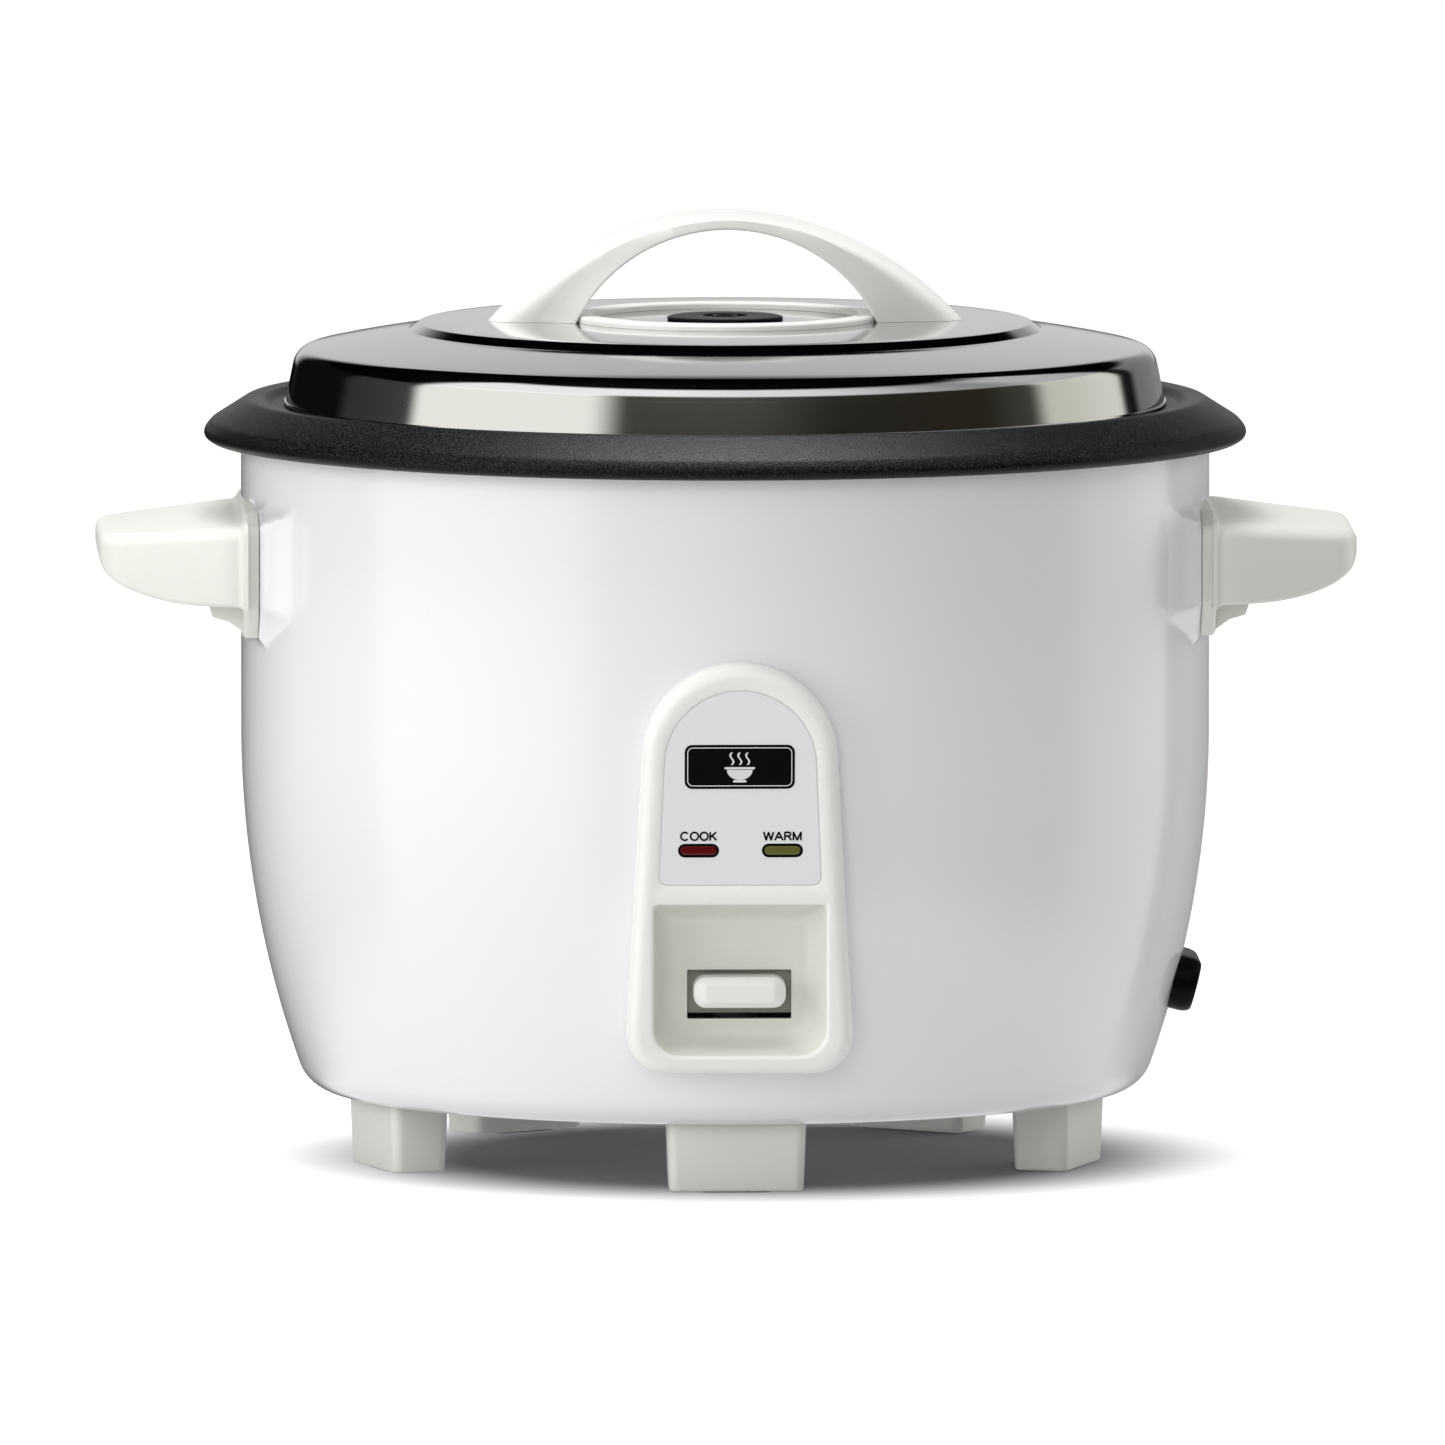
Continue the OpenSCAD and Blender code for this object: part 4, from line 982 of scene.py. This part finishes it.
# the paddle's width, height and corner radius at each depth, from its root to its dished front
PADDLE_LINES = (
    (31.6, 10.7, 4.2, 16.6), (31.6, 10.7, 4.2, 6.2), (31.5, 10.6, 4.2, 5.5), (31.1, 10.3, 4.1, 5.0),
    (30.4, 9.7, 3.9, 4.6), (29.2, 8.9, 3.5, 4.2), (27.4, 7.9, 2.9, 3.7), (25.6, 6.9, 2.3, 3.2),
    (24.9, 6.5, 2.0, 3.0), (24.2, 6.1, 1.8, 2.84), (23.4, 5.7, 1.6, 2.74), (22.4, 5.2, 1.4, 2.7),
)


def paddle():
    s = Shape(on_panel)
    rings = [s.ring(at(box_outline(0, 27.95, w, h, r, 8)(0), y)) for w, h, r, y in PADDLE_LINES]
    s.bands(rings)
    s.fill(rings[0])
    s.fill(rings[-1])
    # shield that closes the slot behind the paddle, in the dark plastic (material 1): painted shade behind
    # the slot
    slab(s, box_outline(0, 30.4, 40, 21.8, 1.5), 15.4, 17.2, 0.3, 1)
    slab(s, box_outline(0, 27.0, 18, 10, 1.0), 17.3, 23.0, 0.3, 1)
    return s.done("paddle_cap", [WHITE, SLOT_PAINTED_SHADE], "lever", "white_plastic", ["lever_paddle"], 36)


paddle()


# ---- feet

def foot_print(inset):
    w, out, inn = 24.0 - inset, -130.0 + inset, -109.0 - inset
    q = max(0.8, 4.0 - inset * 0.5)
    return corners(-w, w, out, inn, q, q, 8, 8)


def foot(name, node, turn):
    c, sn = math.cos(math.radians(turn)), math.sin(math.radians(turn))
    s = Shape(lambda x, y, z: (x * c - y * sn, x * sn + y * c, z))
    rings = [s.ring([(x, y, z) for x, y in foot_print(inset)])
             for inset, z in ((0, 24.9), (0.1, 21), (0.6, 8.0), (0.9, 1.6), (1.05, 0.95), (1.4, 0.55),
                              (2.0, 0.4), (2.5, 0.4))]
    s.bands(rings)
    recess = box_outline(0, -119.5, 24.2, 15.2, 3.1)(0)
    lip, seat = s.ring([(x, y, 0.4) for x, y in recess]), s.ring([(x, y, 1.5) for x, y in recess])
    s.band(lip, seat)
    s.fill(rings[-1], lip)
    hole = [s.ring([(x, y, z) for x, y in arc(0, -119.5, r, 0, 345, 23)])
            for r, z in ((5.0, 1.5), (5.0, 16), (2.3, 16), (2.3, 24.9))]
    s.bands(hole)
    s.fill(seat, hole[0])
    s.fill(rings[0], hole[-1])
    return s.done(name, CREAM, "cooker", "cream_plastic", [node], 40)


for name, node, turn in (("front_foot", "foot_front", 0), ("right_foot", "foot_right", 72),
                         ("left_foot", "foot_left", -72), ("rear_foot_right", "foot_rear_right", 144),
                         ("rear_foot_left", "foot_rear_left", -144)):
    foot(name, node, turn)


# ---- power inlet

INLET_Z = 61.8
INLET_A = math.asin((BELLY_Z - INLET_Z) / BELLY_R)
INLET_X = BELLY_X + BELLY_R * math.cos(INLET_A)


def on_inlet(x, y, z):
    """A point out of, along and up the inlet's face, in the cooker's frame."""
    return (INLET_X + x * math.cos(INLET_A) + z * math.sin(INLET_A), y,
            INLET_Z - x * math.sin(INLET_A) + z * math.cos(INLET_A))


def inlet():
    s = Shape(on_inlet)
    out = box_outline(0, 0, 52, 19, 9.2, 10)

    def ring(x, outline):
        return s.ring([(x, y, z) for y, z in outline])

    def back(y, z):
        """How far back a point of the body goes to meet the drum's wall."""
        return wall_depth(lambda x: on_inlet(x, y, z), 4.0, -8.0, 0.02)

    rings = [s.ring([(back(y, z), y, z) for y, z in out(0)])]
    for inset, x in ((0, 2.6), (0.15, 4.0), (0.45, 5.0), (0.85, 5.75), (1.2, 6.15), (1.45, 6.35),
                     (1.6, 6.4)):
        rings.append(ring(x, out(inset)))
    s.bands(rings)
    cav = rounded([(-12.0, 7.3, 0.8), (12.0, 7.3, 0.8), (12.0, -3.0, 0.6), (7.6, -7.3, 0.6),
                   (-7.6, -7.3, 0.6), (-12.0, -3.0, 0.6)], 3)
    hole = [s.ring([(x, y * k, z * k) for y, z in cav]) for x, k in ((6.4, 1.02), (6.2, 1.0), (-9.0, 1.0))]
    s.bands(hole)
    s.fill(hole[-1])
    screws = []
    for y0 in (-20, 20):
        pts = arc(y0, 0, 2.6, 0, 342, 19)
        a, b = ring(6.4, pts), ring(4.6, pts)
        s.band(a, b)
        s.fill(b)
        screws.append(a)
    s.fill(rings[-1], hole[0], *screws)
    # socket box behind the wall
    outside, inside = box_outline(0, 0, 26, 16.8, 1.2, 3)(0), box_outline(0, 0, 24.9, 15.7, 0.8, 3)(0)
    box = [ring(-11, outside), ring(-1.5, outside), ring(-1.5, inside), ring(-10.0, inside)]
    s.bands(box)
    s.fill(box[0])
    s.fill(box[-1])
    rim = s.ring([(back(y, z), y, z) for y, z in out(1.2)])
    s.band(rings[0], rim)
    return s.done("inlet_body", BLACK, "cooker", "black_plastic", ["power_inlet"], 34)


inlet()


# ---- studio

def look_along(ob, direction):
    ob.rotation_mode = "QUATERNION"
    ob.rotation_quaternion = direction.to_track_quat("-Z", "Y")


def camera():
    cam = bpy.data.cameras.new("camera")
    ob = bpy.data.objects.new("camera", cam)
    scene.collection.objects.link(ob)
    az, el, dist, aim = math.radians(-1.75), math.radians(5.05), 16.0, Vector((-0.0009, 0, 0.1506))
    back = Vector((math.sin(az) * math.cos(el), -math.cos(az) * math.cos(el), math.sin(el)))
    cam.lens, cam.sensor_width = 1153.8, 36.0
    cam.clip_start, cam.clip_end = 0.5, 60
    ob.location = aim + back * dist
    look_along(ob, -back)
    scene.camera = ob


camera()


def area(name, azimuth, dist, height, width, tall, power, aim=0.18):
    """A soft box; azimuth is measured in degrees from the front towards the right."""
    light = bpy.data.lights.new(name, "AREA")
    light.shape, light.size, light.size_y, light.energy = "RECTANGLE", width, tall, power
    ob = bpy.data.objects.new(name, light)
    scene.collection.objects.link(ob)
    a = math.radians(azimuth)
    ob.location = (dist * math.sin(a), -dist * math.cos(a), height)
    look_along(ob, Vector((0, 0, aim)) - ob.location)
    ob.visible_glossy = False
    return ob


area("key_left", -66, 2.0, 0.55, 1.5, 1.3, 19.0)
area("front_fill", -8, 2.6, 0.9, 1.6, 1.2, 15.0)
area("rim_left", -140, 1.9, 0.5, 0.9, 1.0, 6.0)
area("rim_right", 122, 1.9, 0.5, 0.9, 1.0, 18.0)
area("top", -50, 0.30, 2.3, 1.3, 1.1, 40.0)


def lip_light():
    """A soft window over the cooker that only the pot's coated lip shows."""
    ob = area("lip_window", 176, 0.06, 1.45, 0.70, 0.42, 18.0, aim=0.26)
    ob.visible_glossy = True
    only = bpy.data.collections.new("pot_only")
    only.objects.link(bpy.data.objects["pot_body"])
    ob.light_linking.receiver_collection = only


lip_light()


def world():
    """White to the camera, a soft even light on everything, and for shiny surfaces a studio: a pale
    low wall behind, two bright windows at the sides and a bright strip above them, dark elsewhere."""
    w = bpy.data.worlds.new("studio")
    scene.world = w
    w.use_nodes = True
    n, link = w.node_tree.nodes, w.node_tree.links.new
    n.clear()
    out = add(n, "OutputWorld")
    path = add(n, "LightPath")
    seen, soft, gloss = (add(n, "Background") for _ in range(3))
    seen.inputs["Color"].default_value = (1, 1, 1, 1)
    where = add(n, "TexCoord")
    sep = add(n, "SeparateXYZ")
    link(where.outputs["Generated"], sep.inputs[0])

    def calc(op, a, b=None):
        m = add(n, "Math", operation=op)
        for i, v in enumerate((a, b)):
            if isinstance(v, (int, float)):
                m.inputs[i].default_value = v
            elif v is not None:
                link(v, m.inputs[i])
        return m.outputs[0]

    def ramp(value, stops):
        """Colour against an angle in degrees, with soft steps."""
        lo, hi = stops[0][0], stops[-1][0]
        r = add(n, "ValToRGB")
        r.color_ramp.interpolation = "EASE"
        link(calc("DIVIDE", calc("SUBTRACT", value, lo), hi - lo), r.inputs[0])
        for i, (at_deg, c) in enumerate(stops):
            if i in (0, len(stops) - 1):
                e = r.color_ramp.elements[0 if i == 0 else len(r.color_ramp.elements) - 1]
            else:
                e = r.color_ramp.elements.new((at_deg - lo) / (hi - lo))
            e.color = (*(c if isinstance(c, tuple) else (c, c, c)), 1)
        return r.outputs[0]

    deg = 180 / math.pi
    ahead = calc("MULTIPLY", sep.outputs["Y"], -1.0)
    azimuth = calc("MULTIPLY", calc("ARCTAN2", sep.outputs["X"], ahead), deg)
    elev = calc("MULTIPLY", calc("ARCSINE", sep.outputs["Z"]), deg)
    bright, dark = (0.98, 0.97, 0.92), (0.050, 0.049, 0.040)
    wall = ramp(azimuth, [(-180, 0.004), (-127, 0.004), (-120, 0.035), (-96, 0.05), (-91, bright),
                          (-40, bright), (-28, dark), (2, dark), (30, (0.018, 0.016, 0.012)),
                          (70, (0.022, 0.019, 0.013)), (88, dark), (96, (0.62, 0.61, 0.54)),
                          (127, (0.75, 0.74, 0.67)), (131, 0.004), (136, 0.004), (141, 0.18), (180, 0.30)])
    strip = ramp(azimuth, [(-180, 0.0), (-98, 0.0), (-88, 1.0), (-20, 1.0), (10, 0.85), (80, 0.30),
                           (100, 0.50), (125, 0.50), (132, 0.0), (180, 0.0)])
    # heights at which each of them shows
    wall_on = ramp(elev, [(-90, 0.0), (-24, 0.0), (-14, 1.0), (20, 1.0), (24, 0.0), (90, 0.0)])
    strip_on = ramp(elev, [(-90, 0.0), (20, 0.0), (23, 1.0), (50, 1.0), (60, 0.0), (90, 0.0)])
    low_on = ramp(elev, [(-90, 1.0), (-24, 1.0), (-14, 0.0), (90, 0.0)])
    back = ramp(calc("ABSOLUTE", azimuth), [(0, 0.0), (162, 0.0), (173, 1.0), (180, 1.0)])
    back_on = ramp(elev, [(-90, 0.0), (-2, 0.0), (2, 0.62), (14, 0.58), (24, 0.52), (27, 0.50),
                          (32, 0.0), (90, 0.0)])

    def mixed(how, a, b, fac=None):
        m = add(n, "Mix", data_type="RGBA", blend_type=how)
        m.inputs[0].default_value = 1.0
        if fac:
            link(fac, m.inputs[0])
        link(a, m.inputs[6])
        link(b, m.inputs[7])
        return m.outputs[2]

    def level(grey):
        """The strength of a grey colour."""
        split = add(n, "SeparateColor")
        link(grey, split.inputs[0])
        return split.outputs[0]

    shown = mixed("ADD", mixed("MULTIPLY", wall, wall_on), mixed("MULTIPLY", strip, strip_on))
    front = mixed("ADD", shown, low_on)
    high = ramp(elev, [(-90, 0.0), (-4, 0.0), (0, 1.0), (90, 1.0)])
    # the even light on everything: most from above, least from low behind
    sky = ramp(elev, [(-90, 0.10), (-4, 0.14), (12, 0.38), (40, 0.60), (90, 0.70)])
    front_back = ramp(azimuth, [(-180, 0.25), (-120, 0.8), (-60, 0.95), (0, 0.70), (60, 0.50),
                                (120, 0.50), (180, 0.25)])
    link(mixed("MULTIPLY", sky, front_back), soft.inputs["Color"])
    all_round = mixed("MIX", front, back_on, calc("MULTIPLY", level(back), level(high)))
    link(all_round, gloss.inputs["Color"])
    a, b = add(n, "MixShader"), add(n, "MixShader")
    link(path.outputs["Is Glossy Ray"], a.inputs[0])
    link(soft.outputs[0], a.inputs[1])
    link(gloss.outputs[0], a.inputs[2])
    link(path.outputs["Is Camera Ray"], b.inputs[0])
    link(a.outputs[0], b.inputs[1])
    link(seen.outputs[0], b.inputs[2])
    link(b.outputs[0], out.inputs[0])


world()


def floor():
    """White paper with a painted soft round shadow under the cooker: dark grey, with a glow that fades in
    further out.
    """
    seg, rings = 96, (0.001, 0.15, 0.3, 0.6, 1.2, 2.5, 5.0)
    verts, faces = [], []
    for r in rings:
        verts += [(r * math.cos(2 * math.pi * k / seg), r * math.sin(2 * math.pi * k / seg), 0.0)
                  for k in range(seg)]
    for i in range(len(rings) - 1):
        for k in range(seg):
            j = (k + 1) % seg
            faces.append((i * seg + k, (i + 1) * seg + k, (i + 1) * seg + j, i * seg + j))
    me = bpy.data.meshes.new("floor")
    me.from_pydata(verts, [], faces)
    m = bpy.data.materials.new("floor_with_painted_shadow")
    m.use_nodes = True
    n, link = m.node_tree.nodes, m.node_tree.links.new
    p = n["Principled BSDF"]
    # dark grey ground; the glow below makes it white away from the cooker, so the dark patch under it is a
    # painted shadow
    p.inputs["Base Color"].default_value = (0.20, 0.20, 0.20, 1)
    p.inputs["Roughness"].default_value = 0.9
    p.inputs["Specular IOR Level"].default_value = 0.1
    where = add(n, "TexCoord")
    length = add(n, "VectorMath", operation="LENGTH")
    painted_shadow_shift = add(n, "VectorMath", operation="SUBTRACT")
    # the painted shadow's centre sits 12 mm to the right of the axis
    painted_shadow_shift.inputs[1].default_value = (0.012, 0.0, 0.0)
    link(where.outputs["Object"], painted_shadow_shift.inputs[0])
    link(painted_shadow_shift.outputs[0], length.inputs[0])
    # painted shadow: no glow inside 0.10 m, full glow past 0.186 m
    painted_shadow = add(n, "MapRange", interpolation_type="SMOOTHSTEP")
    painted_shadow.inputs["From Min"].default_value = 0.100
    painted_shadow.inputs["From Max"].default_value = 0.186
    link(length.outputs["Value"], painted_shadow.inputs["Value"])
    p.inputs["Emission Color"].default_value = (1, 1, 1, 1)
    # white to the camera, less bright as a light on the cooker
    path = add(n, "LightPath")
    glow = add(n, "MapRange")
    glow.inputs["To Min"].default_value = 0.48
    link(path.outputs["Is Camera Ray"], glow.inputs["Value"])
    both = add(n, "Math", operation="MULTIPLY")
    link(painted_shadow.outputs["Result"], both.inputs[0])
    link(glow.outputs["Result"], both.inputs[1])
    link(both.outputs[0], p.inputs["Emission Strength"])
    ob = linked("floor", me, m)
    ob.visible_glossy = False


floor()
